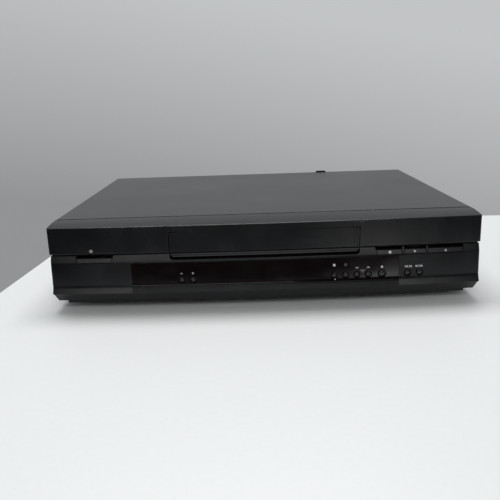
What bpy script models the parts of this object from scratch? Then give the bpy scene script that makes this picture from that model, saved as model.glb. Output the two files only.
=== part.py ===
"""A front loading video cassette recorder: case, controls, sockets, tape deck and cassette carriage.

Metres, +Z up, +Y to the back. The origin lies under the middle of the whole recorder, on the table.
Depths are measured backwards from the front edge of the flared chin, heights from the table.
"""

import math

import bmesh
import bpy
from mathutils import Matrix, Vector

# Clearances shared by all pieces
GAP = 0.0003
RUNNING_GAP = 0.0004
CUT = 0.002
SLIDE_GAP = 0.0006

# Case
WIDTH = 0.432
CASE_DEPTH = 0.287
COVER_TOP = 0.087
COVER_WALL = 0.0009
COVER_BEND = 0.0016
COVER_BOTTOM = 0.0100
COVER_LIP = 0.0036
SOCKET_REACH = 0.0075
FOOT_HEIGHT = 0.0085

# Front panel: heights of its outline, and how far each height lies behind the chin's edge
SEAM_DEPTH = 0.0425
SEAM_DROP = 0.0004
TOP_EDGE_HEIGHT = 0.0847
TOP_EDGE_ROUND = 0.0010
TOP_SETBACK = 0.0116
LIP_HEIGHT = 0.0583
LIP_SETBACK = 0.0085
GROOVE_HEIGHT = 0.0574
GROOVE_SETBACK = 0.0112
SHOULDER_HEIGHT = 0.0561
SHOULDER_SETBACK = 0.0098
BELT_HEIGHT = 0.0490
BELT_SETBACK = 0.0070
CHIN_HEIGHT = 0.0181
CHIN_ROUND = 0.0008
UNDERCUT_HEIGHT = 0.0102
UNDERCUT_SETBACK = 0.0045
BULGE = 0.0045
CORNER_RADIUS = 0.0015
WAIST_INSET = 0.0016
LOWER_INSET = 0.0005
CHAMFER_INSET = 0.0035
FLARE_CURVE_SHARE = 1.2
PANEL_WALL = 0.0028
PANEL_TOP_WALL = 0.0020
TONGUE_WALL = 0.0016
TONGUE_LENGTH = 0.0060
TONGUE_ROOT = 0.0040
KEEL_INSET = 0.0130
KEEL_HEIGHT = 0.0066
KEEL_SETBACK = 0.0070
KEEL_DEPTH = 0.0260

# Cassette slot and its door
SLOT_HALF_WIDTH = 0.0945
SLOT_BOTTOM = 0.0504
SLOT_TOP = 0.0779
SLOT_ROUND = 0.0035
DOOR_GAP = 0.0004
DOOR_WALL = 0.0022
DOOR_SILL_GAP = 0.0030
DOOR_LINE_HEIGHT = 0.0547
DOOR_LINE_WIDTH = 0.0005
DOOR_LINE_DEPTH = 0.0006
DOOR_RIB_INSET = 0.0034
DOOR_RIB_WIDTH = 0.0006
DOOR_RIB_DEPTH = 0.0003
HINGE_RISE = 0.0013
HINGE_BEHIND = 0.0024
BARREL_RADIUS = 0.0012
PIN_RADIUS = 0.0009
PIN_LENGTH = 0.0030
EAR_WIDTH = 0.0042
EAR_DEPTH = 0.0080
EAR_HEIGHT = 0.0090
RELIEF_SKIN = 0.0008
RELIEF_DEPTH = 0.0060
RELIEF_HEIGHT = 0.0030
SPRING_ROOM = 0.0074
SPRING_WIRE = 0.000175
SPRING_RADIUS = 0.00125
SPRING_SKIN = 0.00085
SPRING_NOTCH = 0.0016
SPRING_CURLS = 5
SPRING_PITCH = 0.0011

# Display window
WINDOW_SIDE_MARGIN = 0.0820
WINDOW_BOTTOM = 0.0248
WINDOW_TOP = 0.0481
WINDOW_WALL = 0.0013
WINDOW_SINK = 0.0001
WINDOW_END_GAP = 0.0002
SILL_PROUD = 0.0008
DISPLAY_INSET = 0.0840
DISPLAY_BOTTOM = 0.0335
DISPLAY_TOP = 0.0470
DISPLAY_FRONT = 0.0125

# Round buttons
BUTTON_HEIGHT = 0.0303
SMALL_CAP = 0.0026
SMALL_HOLE = 0.0036
LARGE_CAP = 0.0033
LARGE_HOLE = 0.0044
PLAIN_CAP = 0.0028
PLAIN_HOLE = 0.0038
BUTTON_TRAVEL = 0.0008
BUTTON_PROUD = 0.0007
BUTTON_DOME = 0.0005
FLANGE_RIM = 0.0008
FLANGE_WALL = 0.0012
STEM_RADIUS = 0.0016
SWITCH_SIZE = 0.0060
SWITCH_DEPTH = 0.0034
PLUNGER_RADIUS = 0.0017
PLUNGER_DEPTH = 0.0010
DOME_RADIUS_SHARE = 0.75
DOME_HEIGHT_SHARE = 0.25
TRACKING_INSET = 0.0504
CHANNEL_UP_INSET = 0.0307
TIMED_RECORD_INSET = 0.0171
SMALL_BUTTON_PITCH = 0.0114
REWIND_OFFSET = 0.0088
FAST_FORWARD_OFFSET = 0.0209

# Keys in the waist
POWER_KEY_INSET = 0.0270
POWER_KEY_WIDTH = 0.0346
KEY_SIDE_MARGIN = 0.0174
KEY_SLOT_MARGIN = 0.0185
KEY_SPACING = 0.0025
STOP_KEY_SHARE = 0.298
PLAY_KEY_SHARE = 0.267
KEY_BOTTOM = 0.0491
KEY_TOP = 0.0533
KEY_SLOT_TOP = 0.0567
KEY_GAP = 0.0004
KEY_LEAN = 0.0016
KEY_SINK = 0.0003
KEY_LEG_BOTTOM = 0.0420
KEY_LEG_WALL = 0.0014
KEY_LEG_RIM = 0.0010
KEY_SWITCH_HEIGHT = 0.0450

# Boards
BOARD_WALL = 0.0016
FRONT_BOARD_DEPTH = 0.0220
FRONT_BOARD_BOTTOM = 0.0140
FRONT_BOARD_TOP = 0.0500
FRONT_BOARD_SIDE_GAP = 0.0100
FRONT_BOSS_RADIUS = 0.0030
FRONT_BOSS_INSET = 0.0060
LOW_BOSS_SHARES = (-0.88, -0.30, 0.30, 0.88)
HIGH_BOSS_GAP = 0.0078
HIGH_BOSS_INSET = 0.0051
MAIN_BOARD_HEIGHT = 0.0132
MAIN_BOARD_FRONT_GAP = 0.0175
BOARD_SIDE_GAP = 0.0042
BOARD_BACK_GAP = 0.0050
BOARD_SPACING = 0.0020
COMPONENT = 0.0100
POWER_BOARD_DECK_GAP = 0.0082
POWER_BOARD_LENGTH = 0.1490

# Bottom tray
TRAY_FLOOR = 0.0012
TRAY_WALL = 0.0012
TRAY_RIM = 0.0220
BOSS_RADIUS = 0.0035
PILLAR_RADIUS = 0.0040
TRAY_SLOT_WIDTH = 0.0030
TRAY_SLOT_LENGTH = 0.0380
TRAY_SLOT_PITCH = 0.0090
TRAY_SLOTS = 7
FOOT_RADIUS = 0.0110
FOOT_TIP_RADIUS = 0.0090
FOOT_ROUND = 0.0015
FOOT_SIDE_INSET = 0.0262
FOOT_FRONT_INSET = 0.0175
FOOT_BACK_INSET = 0.0320

# Side vents of the cover
VENT_BACK_INSET = 0.0700
VENT_PITCH = 0.0080
VENT_WIDTH = 0.0030
VENT_BOTTOM = 0.0300
VENT_TOP = 0.0560
VENTS = 9

# Rear panel and its sockets
REAR_WALL = 0.0020
REAR_INSET = 0.0010
REAR_BOTTOM = 0.0092
TAB_SHARE = 0.4465
TAB_WIDTH = 0.0150
TAB_WALL = 0.0018
TAB_RISE = 0.0020
TAB_DROP = 0.0090
TAB_ROUND = 0.0018
SCART_SPACING = 0.0260
SCART_WIDTH = 0.0480
SCART_HEIGHT = 0.0165
SCART_DEPTH = 0.0160
SCART_PROUD = 0.0015
SCART_RECESS = 0.0110
SCART_WALL = 0.0012
SCART_LEAN = 0.0050
SCART_LOWER_HEIGHT = 0.0320
SCART_UPPER_HEIGHT = 0.0560
AERIAL_SIDE_GAP = 0.0301
AERIAL_WIDTH = 0.0400
AERIAL_DEPTH = 0.0260
AERIAL_TOP = 0.0740
AERIAL_LOWER_HEIGHT = 0.0360
AERIAL_UPPER_HEIGHT = 0.0600
COAX_RADIUS = 0.0048
COAX_WALL = 0.0007
COAX_COLLAR = 0.0070
COAX_CORE = 0.0012
PHONO_SPACING = 0.0220
PHONO_LOWER_HEIGHT = 0.0360
PHONO_UPPER_HEIGHT = 0.0520
PHONO_WIDTH = 0.0140
PHONO_TOP = 0.0600
PHONO_RADIUS = 0.0041
PHONO_BORE = 0.0017
PHONO_REACH = 0.0060
INLET_SIDE_GAP = 0.0386
INLET_HEIGHT = 0.0330
INLET_WIDTH = 0.0230
INLET_TALL = 0.0150
INLET_DEPTH = 0.0160
INLET_RECESS = 0.0125
INLET_BORE = 0.0042
INLET_PIN_RADIUS = 0.0012
INLET_PIN_SPACING = 0.0086
INLET_PIN_LENGTH = 0.0100
REAR_VENT_SPACING = 0.0635
REAR_VENTS = 8
REAR_VENT_WIDTH = 0.0025
REAR_VENT_PITCH = 0.0070
REAR_VENT_BOTTOM = 0.0400
REAR_VENT_TOP = 0.0700

# Deck
DECK_HEIGHT = 0.0238
DECK_WALL = 0.0012
DECK_HALF_WIDTH = 0.1120
DECK_FRONT_GAP = 0.0125
DECK_BACK_GAP = 0.0060
DECK_FOOT_X = 0.1040
DECK_FOOT_INSET = 0.0090
DRUM_PLACE_SHARE = 0.777
DRUM_HEIGHT = 0.0312
DRUM_RADIUS = 0.0310
DRUM_LEAN_SHARE = 0.1033
LOWER_DRUM_TALL = 0.0165
HEAD_DRUM_TALL = 0.0180
ROTOR_TALL = 0.0050
ROTOR_RADIUS = 0.0190
DRUM_FOOT_RADIUS = 0.0260
DRUM_BORE = 0.0034
DRUM_RELIEF = 0.0100
DRUM_HOLE = 0.0025
DRUM_HOLES = 3
CAPSTAN_X = 0.0520
CAPSTAN_PLACE_SHARE = 0.594
CAPSTAN_RADIUS = 0.0015
CAPSTAN_TOP = 0.0560
FLYWHEEL_RADIUS = 0.0240
FLYWHEEL_WALL = 0.0038
CAPSTAN_PULLEY = 0.0070
PULLEY_WALL = 0.0018
BUSH_RADIUS = 0.0045
BUSH_TOP = 0.0310
BUSH_NECK_SHARE = 0.7
DRIVE_PLACE_SHARE = 0.32
DRIVE_PULLEY = 0.0140
DRIVE_SHAFT = 0.0020
DRIVE_WHEEL = 0.0070
DRIVE_WHEEL_WALL = 0.0022
BELT_WALL = 0.0010
BELT_TALL = 0.0013
REEL_X = 0.0457
REEL_PLACE_SHARE = 0.249
REEL_RADIUS = 0.0200
REEL_WALL = 0.0032
REEL_HUB_RADIUS = 0.0062
REEL_TOP = 0.0420
REEL_FIN = 0.0026
REEL_FIN_WALL = 0.0014
REEL_FINS = 3
POST_START_X = 0.0300
POST_START_SHARE = 0.482
POST_END_X = 0.0370
POST_END_SHARE = 0.711
POST_BASE = 0.0045
POST_BASE_TALL = 0.0032
POST_RADIUS = 0.0028
POST_TOP = 0.0520
POST_PEG = 0.0015
POST_SLOT = 0.0020
POST_DISC = 0.0040
POST_CAP_SHARE = 0.8
PINCH_BESIDE_CAPSTAN = 0.0320
PINCH_BEHIND_CAPSTAN = 0.0060
PINCH_SWING_DEGREES = 28
PINCH_RADIUS = 0.0065
PINCH_TALL = 0.0160
PINCH_ARM_HEIGHT = 0.0300
PINCH_ARM_WALL = 0.0020
PINCH_ARM_HALF = 0.0038
PINCH_PIN = 0.0015
PIVOT_RADIUS = 0.0020
ERASE_X = -0.0620
CONTROL_INWARD = 0.0058
CONTROL_BEHIND = 0.0120
HEAD_HALF = 0.0035
HEAD_BASE = 0.0040
HEAD_TOP = 0.0480
MOTOR_X = -0.0850
MOTOR_RADIUS = 0.0100
MOTOR_PLACE_SHARE = 0.711
MOTOR_LENGTH = 0.0380
MOTOR_SHAFT = 0.0012
CRADLE_SHARE = 0.8
WORM_RADIUS = 0.0030
WORM_LENGTH = 0.0110

# Cassette carriage
CASSETTE_HALF_WIDTH = 0.0940
CASSETTE_TALL = 0.0250
HOLDER_FRONT = 0.0455
HOLDER_LENGTH = 0.0500
HOLDER_WALL = 0.0010
HOLDER_SIDE_GAP = 0.0008
HOLDER_FLOOR_RISE = 0.0006
HOLDER_HEAD_GAP = 0.0007
HOLDER_LEDGE = 0.0200
HOLDER_TRAVEL = 0.0210
HOLDER_WINDOW_X = 0.0600
HOLDER_WINDOW_INSET = 0.0110
HOLDER_BEFORE_DRUM = 0.0475
SLIDER_INSET = 0.0045
SLIDER_WALL = 0.0010
SLIDER_BOTTOM = 0.0320
SLIDER_TOP = 0.0830
SLIDER_BAR = 0.0060
SLIDER_BAR_WALL = 0.0020
BRACKET_FRONT_INSET = 0.0005
BRACKET_BACK_MARGIN = 0.0040
BRACKET_TOP = 0.0800
BRACKET_WALL = 0.0012
BRACKET_FOOT = 0.0090
CARRIAGE_PIN = 0.0013
PIN_SLOT = 0.0017
HOLDER_PIN_HEIGHT = 0.0600
HOLDER_PIN_INSET = 0.0150
SLIDER_PIN_HEIGHT = 0.0740
SLIDER_PIN_INSET = 0.0060

# Facets
ROUND_STEPS = 16
DRUM_STEPS = 28
PIN_STEPS = 8
SPRING_STEPS = 10
CORNER_STEPS = 3
FACE_STEPS = 10
FLARE_STEPS = 4
STRIP_STEPS = 3
HALF_ROUND_STEPS = 6
KEY_STEPS = 2
SHARP_DEGREES = 35
MERGE_DISTANCE = 1e-7

# Worked out from the sizes above
HALF = WIDTH / 2
DEPTH = CASE_DEPTH + SOCKET_REACH
FRONT = -DEPTH / 2
SEAM_HEIGHT = COVER_TOP - SEAM_DROP
HINGE_HEIGHT = SLOT_TOP + HINGE_RISE
WINDOW_HALF_WIDTH = HALF - WINDOW_SIDE_MARGIN
DISPLAY_HALF_WIDTH = WINDOW_HALF_WIDTH - DISPLAY_INSET
COVER_INSIDE = HALF - COVER_WALL
REAR_FACE = CASE_DEPTH - REAR_INSET
REAR_INSIDE = REAR_FACE - REAR_WALL
TRAY_HALF_WIDTH = COVER_INSIDE - COVER_LIP - GAP
KEEL_HALF_WIDTH = HALF - KEEL_INSET
FOOT_X = TRAY_HALF_WIDTH - FOOT_SIDE_INSET
FOOT_FRONT = SEAM_DEPTH + FOOT_FRONT_INSET
FOOT_BACK = CASE_DEPTH - FOOT_BACK_INSET
FRONT_BOARD_HALF_WIDTH = HALF - FRONT_BOARD_SIDE_GAP
POWER_BOARD_LEFT = -TRAY_HALF_WIDTH + BOARD_SIDE_GAP
POWER_BOARD_RIGHT = -DECK_HALF_WIDTH - POWER_BOARD_DECK_GAP
MAIN_BOARD_LEFT = POWER_BOARD_RIGHT + BOARD_SPACING
MAIN_BOARD_RIGHT = TRAY_HALF_WIDTH - BOARD_SIDE_GAP
MAIN_BOARD_FRONT = SEAM_DEPTH + MAIN_BOARD_FRONT_GAP
MAIN_BOARD_BACK = REAR_INSIDE - BOARD_BACK_GAP
POWER_BOARD_FRONT = MAIN_BOARD_BACK - POWER_BOARD_LENGTH
AERIAL_X = COVER_INSIDE - AERIAL_SIDE_GAP - AERIAL_WIDTH / 2
SOCKET_COLUMN_X = AERIAL_X - AERIAL_WIDTH / 2 - SCART_SPACING - SCART_WIDTH / 2
PHONO_X = SOCKET_COLUMN_X - SCART_WIDTH / 2 - PHONO_SPACING - PHONO_WIDTH / 2
INLET_X = INLET_SIDE_GAP + INLET_WIDTH / 2 - COVER_INSIDE
REAR_VENT_X = INLET_X + INLET_WIDTH / 2 + REAR_VENT_SPACING
TAB_X = TAB_SHARE * HALF
DECK_FRONT = SEAM_DEPTH + DECK_FRONT_GAP
DECK_BACK = REAR_INSIDE - AERIAL_DEPTH - DECK_BACK_GAP
DECK_LENGTH = DECK_BACK - DECK_FRONT
DECK_TOP = DECK_HEIGHT + DECK_WALL
DRUM_DEPTH = DECK_FRONT + DRUM_PLACE_SHARE * DECK_LENGTH
CAPSTAN_DEPTH = DECK_FRONT + CAPSTAN_PLACE_SHARE * DECK_LENGTH
DRIVE_PULLEY_DEPTH = DECK_FRONT + DRIVE_PLACE_SHARE * DECK_LENGTH
REEL_DEPTH = DECK_FRONT + REEL_PLACE_SHARE * DECK_LENGTH
POST_START_DEPTH = DECK_FRONT + POST_START_SHARE * DECK_LENGTH
POST_END_DEPTH = DECK_FRONT + POST_END_SHARE * DECK_LENGTH
MOTOR_FRONT = DECK_FRONT + MOTOR_PLACE_SHARE * DECK_LENGTH
PINCH_PIVOT_X = CAPSTAN_X + PINCH_BESIDE_CAPSTAN
PINCH_PIVOT_DEPTH = CAPSTAN_DEPTH + PINCH_BEHIND_CAPSTAN
ERASE_DEPTH = CAPSTAN_DEPTH
CONTROL_X = CAPSTAN_X - CONTROL_INWARD
CONTROL_DEPTH = CAPSTAN_DEPTH + CONTROL_BEHIND
SLIDER_TRAVEL = DRUM_DEPTH - HOLDER_BEFORE_DRUM - HOLDER_FRONT - HOLDER_LENGTH
BRACKET_FRONT = HOLDER_FRONT + BRACKET_FRONT_INSET
BRACKET_BACK = HOLDER_FRONT + HOLDER_LENGTH + SLIDER_TRAVEL - SLIDER_INSET + BRACKET_BACK_MARGIN
BOARD_TOP = MAIN_BOARD_HEIGHT + BOARD_WALL
SWITCH_FACE = FRONT_BOARD_DEPTH - SWITCH_DEPTH - PLUNGER_DEPTH
HOLDER_INSIDE = CASSETTE_HALF_WIDTH + HOLDER_SIDE_GAP
HOLDER_FLOOR = SLOT_BOTTOM + HOLDER_FLOOR_RISE
HOLDER_HALF = HOLDER_INSIDE + HOLDER_WALL
HOLDER_HEAD = HOLDER_FLOOR + CASSETTE_TALL + HOLDER_HEAD_GAP
SLIDER_INSIDE = HOLDER_HALF + SLIDE_GAP
SLIDER_HALF = SLIDER_INSIDE + SLIDER_WALL
BRACKET_INSIDE = SLIDER_HALF + 2 * SLIDE_GAP
AERIAL_HEIGHTS = (AERIAL_LOWER_HEIGHT, AERIAL_UPPER_HEIGHT)
PHONO_HEIGHTS = (PHONO_LOWER_HEIGHT, PHONO_UPPER_HEIGHT)
SCART_HEIGHTS = {"scart_socket_lower": SCART_LOWER_HEIGHT, "scart_socket_upper": SCART_UPPER_HEIGHT}

# Parts on the boards: place as shares of the free region's width and length, then half width, half depth and
# height, or radius and height, in shares of COMPONENT
MAIN_BLOCK_SHARES = (
    (0.404, 0.274, 1.8, 1.8, 0.4),
    (0.776, 0.525, 1.2, 2.0, 1.2),
    (0.298, 0.594, 0.9, 1.4, 1.8),
)
MAIN_CAN_SHARES = ((0.808, 0.137, 0.5, 1.3), (0.616, 0.137, 0.5, 1.3), (0.244, 0.434, 0.4, 1.1))
POWER_BLOCK_SHARES = ((0.442, 0.302, 2.0, 1.7, 3.0), (0.849, 0.336, 0.2, 2.8, 3.4))
POWER_CAN_SHARES = ((0.128, 0.604, 0.8, 2.5), (0.826, 0.671, 0.6, 2.0), (0.826, 0.805, 0.6, 2.0))


def placed_buttons():
    """Every round button's x, cap radius and hole radius."""
    tracking = TRACKING_INSET - WINDOW_HALF_WIDTH
    channel_up = WINDOW_HALF_WIDTH - CHANNEL_UP_INSET
    small = {
        "tracking_down_button": tracking,
        "tracking_up_button": tracking + SMALL_BUTTON_PITCH,
        "record_button": channel_up - 3 * SMALL_BUTTON_PITCH,
        "timer_button": channel_up - 2 * SMALL_BUTTON_PITCH,
        "channel_down_button": channel_up - SMALL_BUTTON_PITCH,
        "channel_up_button": channel_up,
    }
    found = {name: (x, SMALL_CAP, SMALL_HOLE) for name, x in small.items()}
    found["timed_record_button"] = (WINDOW_HALF_WIDTH - TIMED_RECORD_INSET, LARGE_CAP, LARGE_HOLE)
    found["rewind_button"] = (WINDOW_HALF_WIDTH + REWIND_OFFSET, PLAIN_CAP, PLAIN_HOLE)
    found["fast_forward_button"] = (WINDOW_HALF_WIDTH + FAST_FORWARD_OFFSET, PLAIN_CAP, PLAIN_HOLE)
    return found


def placed_keys():
    """Every key's left and right end, and how far its top leans at either end."""
    power_left = POWER_KEY_INSET - HALF
    stop_left = SLOT_HALF_WIDTH + KEY_SLOT_MARGIN
    eject_right = HALF - KEY_SIDE_MARGIN
    room = eject_right - stop_left - 2 * KEY_SPACING
    stop_right = stop_left + STOP_KEY_SHARE * room
    play_left = stop_right + KEY_SPACING
    play_right = play_left + PLAY_KEY_SHARE * room
    return {
        "power_key": (power_left, power_left + POWER_KEY_WIDTH, 0.0, KEY_LEAN),
        "stop_key": (stop_left, stop_right, -KEY_LEAN, 0.0),
        "play_key": (play_left, play_right, 0.0, 0.0),
        "eject_key": (play_right + KEY_SPACING, eject_right, 0.0, 0.0),
    }


ROUND_BUTTONS = placed_buttons()
KEYS = placed_keys()


def clear_scene():
    for obj in list(bpy.data.objects):
        bpy.data.objects.remove(obj, do_unlink=True)


def material(name, colour, roughness, metallic=0.0):
    made = bpy.data.materials.get(name)
    if made:
        return made
    made = bpy.data.materials.new(name)
    made.use_nodes = True
    shader = made.node_tree.nodes["Principled BSDF"]
    shader.inputs["Base Color"].default_value = (*colour, 1.0)
    shader.inputs["Roughness"].default_value = roughness
    shader.inputs["Metallic"].default_value = metallic
    return made


def cover_paint():
    return material("cover_paint", (0.045, 0.046, 0.047), 0.55, 0.2)


def panel_plastic():
    return material("panel_plastic", (0.008, 0.008, 0.009), 0.42)


def window_plastic():
    return material("window_plastic", (0.004, 0.003, 0.004), 0.08)


def button_plastic():
    return material("button_plastic", (0.012, 0.012, 0.013), 0.35)


def chassis_steel():
    return material("chassis_steel", (0.55, 0.56, 0.58), 0.35, 0.9)


def machined_metal():
    return material("machined_metal", (0.72, 0.72, 0.74), 0.22, 1.0)


def brass_metal():
    return material("brass_metal", (0.70, 0.52, 0.24), 0.30, 1.0)


def board_resin():
    return material("board_resin", (0.24, 0.16, 0.07), 0.55)


def rubber():
    return material("rubber", (0.015, 0.015, 0.016), 0.75)


def deck_plastic():
    return material("deck_plastic", (0.80, 0.79, 0.74), 0.45)


def display_glass():
    return material("display_glass", (0.03, 0.05, 0.05), 0.06)


def link(name, mesh, finish):
    obj = bpy.data.objects.new(name, mesh)
    bpy.context.scene.collection.objects.link(obj)
    if finish:
        mesh.materials.append(finish)
    return obj


def finish_mesh(name, shape, finish=None):
    """Turns a bmesh into an object with its faces facing out and round parts shaded smooth."""
    bmesh.ops.remove_doubles(shape, verts=shape.verts, dist=MERGE_DISTANCE)
    bmesh.ops.recalc_face_normals(shape, faces=shape.faces)
    mesh = bpy.data.meshes.new(name)
    shape.to_mesh(mesh)
    shape.free()
    mesh.shade_smooth()
    mesh.set_sharp_from_angle(angle=math.radians(SHARP_DEGREES))
    return link(name, mesh, finish)


def at(x, depth, height):
    """A point given by its depth behind the chin's edge."""
    return Vector((x, FRONT + depth, height))


def move(obj, place):
    obj.location = place
    return obj


def block(name, low, high, finish=None):
    """A box between two corners, each given as (x, depth, height)."""
    low = at(*low)
    high = at(*high)
    shape = bmesh.new()
    size = Matrix.Diagonal((*(high - low), 1.0))
    bmesh.ops.create_cube(shape, size=1.0, matrix=Matrix.Translation((low + high) / 2) @ size)
    return finish_mesh(name, shape, finish)


def prism(name, outline, along, start, end, finish=None):
    """Extrudes a flat outline. along is the axis index; the outline gives the other two in X, Y, Z order."""
    shape = bmesh.new()
    points = []
    for first, second in outline:
        place = [first, second]
        place.insert(along, start)
        points.append(shape.verts.new(place))
    face = shape.faces.new(points)
    made = bmesh.ops.extrude_face_region(shape, geom=[face])
    way = [0.0, 0.0, 0.0]
    way[along] = end - start
    moved = [item for item in made["geom"] if isinstance(item, bmesh.types.BMVert)]
    bmesh.ops.translate(shape, verts=moved, vec=way)
    return finish_mesh(name, shape, finish)


def turned(name, profile, finish=None, steps=ROUND_STEPS):
    """Spins (radius, height) points about Z. The first and last points lie on the axis."""
    shape = bmesh.new()
    points = [shape.verts.new((radius, 0.0, height)) for radius, height in profile]
    edges = [shape.edges.new(pair) for pair in zip(points, points[1:])]
    bmesh.ops.spin(
        shape,
        geom=points + edges,
        axis=(0, 0, 1),
        cent=(0, 0, 0),
        angle=2 * math.pi,
        steps=steps,
        use_duplicate=False,
    )
    return finish_mesh(name, shape, finish)


def ring_profile(inner, outer, low, high):
    return [(inner, low), (outer, low), (outer, high), (inner, high), (inner, low)]


def rod_profile(radius, low, high):
    return [(0.0, low), (radius, low), (radius, high), (0.0, high)]


def rod(name, radius, low, high, place, finish=None, steps=ROUND_STEPS):
    """An upright round bar at (x, depth), from one height to another."""
    made = turned(name, rod_profile(radius, low, high), finish, steps)
    return move(made, at(place[0], place[1], 0.0))


def aim(obj, axis):
    """Turns a piece spun about Z so that it lies along X or Y, with its top facing backwards or right."""
    turn = {"X": Matrix.Rotation(math.pi / 2, 4, "Y"), "Y": Matrix.Rotation(-math.pi / 2, 4, "X")}
    obj.data.transform(turn[axis])
    return obj


def lying_rod(name, radius, start, length, axis, finish=None, steps=ROUND_STEPS):
    made = aim(turned(name, rod_profile(radius, 0.0, length), finish, steps), axis)
    return move(made, at(*start))


def cap_in_bands(shape, row):
    """Closes a ring whose two halves mirror each other in height, band by band."""
    last = len(row)
    first = (last + 1) // 2
    shape.faces.new((row[0], row[1], row[-1]))
    for i in range(1, first - 1):
        shape.faces.new((row[i], row[i + 1], row[last - i - 1], row[last - i]))


def loft(name, rings, finish=None, banded=False):
    """Bridges a list of closed rings of points, all of one length, and caps both ends."""
    shape = bmesh.new()
    rows = [[shape.verts.new(point) for point in ring] for ring in rings]
    for row, following in zip(rows, rows[1:]):
        for i, corner in enumerate(row):
            j = (i + 1) % len(row)
            shape.faces.new((corner, row[j], following[j], following[i]))
    for row in (rows[0], rows[-1]):
        if banded:
            cap_in_bands(shape, row)
        else:
            shape.faces.new(row)
    return finish_mesh(name, shape, finish)


def change(target, tool, operation):
    """Adds a Boolean, and hides the tool that it uses."""
    modifier = target.modifiers.new(f"{operation.lower()} {tool.name}", "BOOLEAN")
    modifier.operation = operation
    modifier.object = tool
    modifier.solver = "EXACT"
    tool.hide_render = True
    tool.display_type = "WIRE"
    return target


def cut(target, *tools):
    for tool in tools:
        change(target, tool, "DIFFERENCE")
    return target


def join(target, *tools):
    for tool in tools:
        change(target, tool, "UNION")
    return target


def gathered(name, pieces):
    """One helper object made of several that don't touch each other."""
    shape = bmesh.new()
    for piece in pieces:
        piece.data.transform(piece.matrix_basis)
        shape.from_mesh(piece.data)
        bpy.data.objects.remove(piece, do_unlink=True)
    return finish_mesh(name, shape)


def arc(centre, radius, start, end, steps):
    """Points of an arc round a centre, with angles in degrees."""
    found = []
    for step in range(steps + 1):
        angle = math.radians(start + (end - start) * step / steps)
        found.append((centre[0] + radius * math.cos(angle), centre[1] + radius * math.sin(angle)))
    return found


def bulge(x):
    """How far the curved front falls back from the middle."""
    return BULGE * (x / HALF) ** 2


def flare(share):
    """Setback of the lower face, from 0 at the chin's edge to 1 at the belt."""
    return BELT_SETBACK * (1 - (1 - share) ** FLARE_CURVE_SHARE)


def face_outline():
    """The panel's front face as (setback, height), from the top edge down to the chin's edge."""
    points = [
        (TOP_SETBACK, TOP_EDGE_HEIGHT - TOP_EDGE_ROUND),
        (LIP_SETBACK, LIP_HEIGHT),
        (GROOVE_SETBACK, GROOVE_HEIGHT),
        (SHOULDER_SETBACK, SHOULDER_HEIGHT),
        (BELT_SETBACK, BELT_HEIGHT),
    ]
    low = CHIN_HEIGHT + CHIN_ROUND
    for step in range(FLARE_STEPS - 1, 0, -1):
        share = step / FLARE_STEPS
        points.append((flare(share), low + share * (BELT_HEIGHT - low)))
    points.append((0.0, low))
    return points


def setback(height):
    """Depth of the front face behind the chin's edge, at a height, in the middle of the panel."""
    points = face_outline()
    for (back, high), (next_back, low) in zip(points, points[1:]):
        if low <= height <= high:
            share = (high - height) / (high - low)
            return back + share * (next_back - back)
    return points[0][0] if height > points[0][1] else points[-1][0]


def outline_between(bottom, top):
    """The front face between two heights, from the bottom up, as (setback, height)."""
    inner = [point for point in face_outline() if bottom < point[1] < top]
    return [(setback(bottom), bottom), *reversed(inner), (setback(top), top)]


def stations(start, end, steps):
    return [start + (end - start) * step / steps for step in range(steps + 1)]


def strip(name, places, section, finish=None, lean=None):
    """Lofts a closed (setback, height) section along X so that it follows the front's curve.

    lean, where given, is (bottom, top, left, right): how far the top of either end leans along X.
    """
    rings = []
    for number, x in enumerate(places):
        ring = []
        for back, height in section:
            moved = x
            if lean and number in (0, len(places) - 1):
                bottom, top, left, right = lean
                moved += (left if number == 0 else right) * (height - bottom) / (top - bottom)
            ring.append(at(moved, back + bulge(x), height))
        rings.append(ring)
    return loft(name, rings, finish)


def face_section(bottom, top, out, back):
    """The face between two heights, moved back by out, closed by a straight line further back."""
    front = [(setback_there + out, height) for setback_there, height in outline_between(bottom, top)]
    return [*front, (back, top), (back, bottom)]


def panel_stations():
    """Places along X, with the round corners' fall in depth at both ends."""
    flat = HALF - CORNER_RADIUS
    right = [(x, 0.0) for x in stations(0.0, flat, FACE_STEPS // 2)]
    for step in range(1, CORNER_STEPS + 1):
        angle = math.pi / 2 * step / CORNER_STEPS
        right.append((flat + CORNER_RADIUS * math.sin(angle), CORNER_RADIUS * (1 - math.cos(angle))))
    left = [(-x, fall) for x, fall in reversed(right[1:])]
    return left + right


def panel_outline():
    """The panel's section as (setback, height, share of the curve, inset of the ends)."""
    rise = SEAM_HEIGHT - TOP_EDGE_HEIGHT
    points = []
    for step in range(STRIP_STEPS + 1):
        share = step / STRIP_STEPS
        start = TOP_SETBACK + TOP_EDGE_ROUND
        height = SEAM_HEIGHT - rise * share ** 2
        points.append((SEAM_DEPTH - share * (SEAM_DEPTH - start), height, share, 0.0))
    for back, height in face_outline():
        inset = 0.0
        if height < LIP_HEIGHT:
            inset = WAIST_INSET if height > SHOULDER_HEIGHT else LOWER_INSET
        points.append((back, height, 1.0, inset))
    points.append((CHIN_ROUND, CHIN_HEIGHT, 1.0, LOWER_INSET + CHIN_ROUND))
    points.append((UNDERCUT_SETBACK, UNDERCUT_HEIGHT, 1.0, CHAMFER_INSET))
    return points


def panel_shell_outside():
    rings = []
    for x, fall in panel_stations():
        front = []
        back = []
        for setback_there, height, share, inset in panel_outline():
            reach = x * (HALF - inset) / HALF
            front.append(at(reach, setback_there + share * (bulge(x) + fall), height))
            if share:
                back.append(at(reach, SEAM_DEPTH, height))
        rings.append(front + list(reversed(back)))
    return loft("front_panel", rings, panel_plastic(), banded=True)


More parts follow.
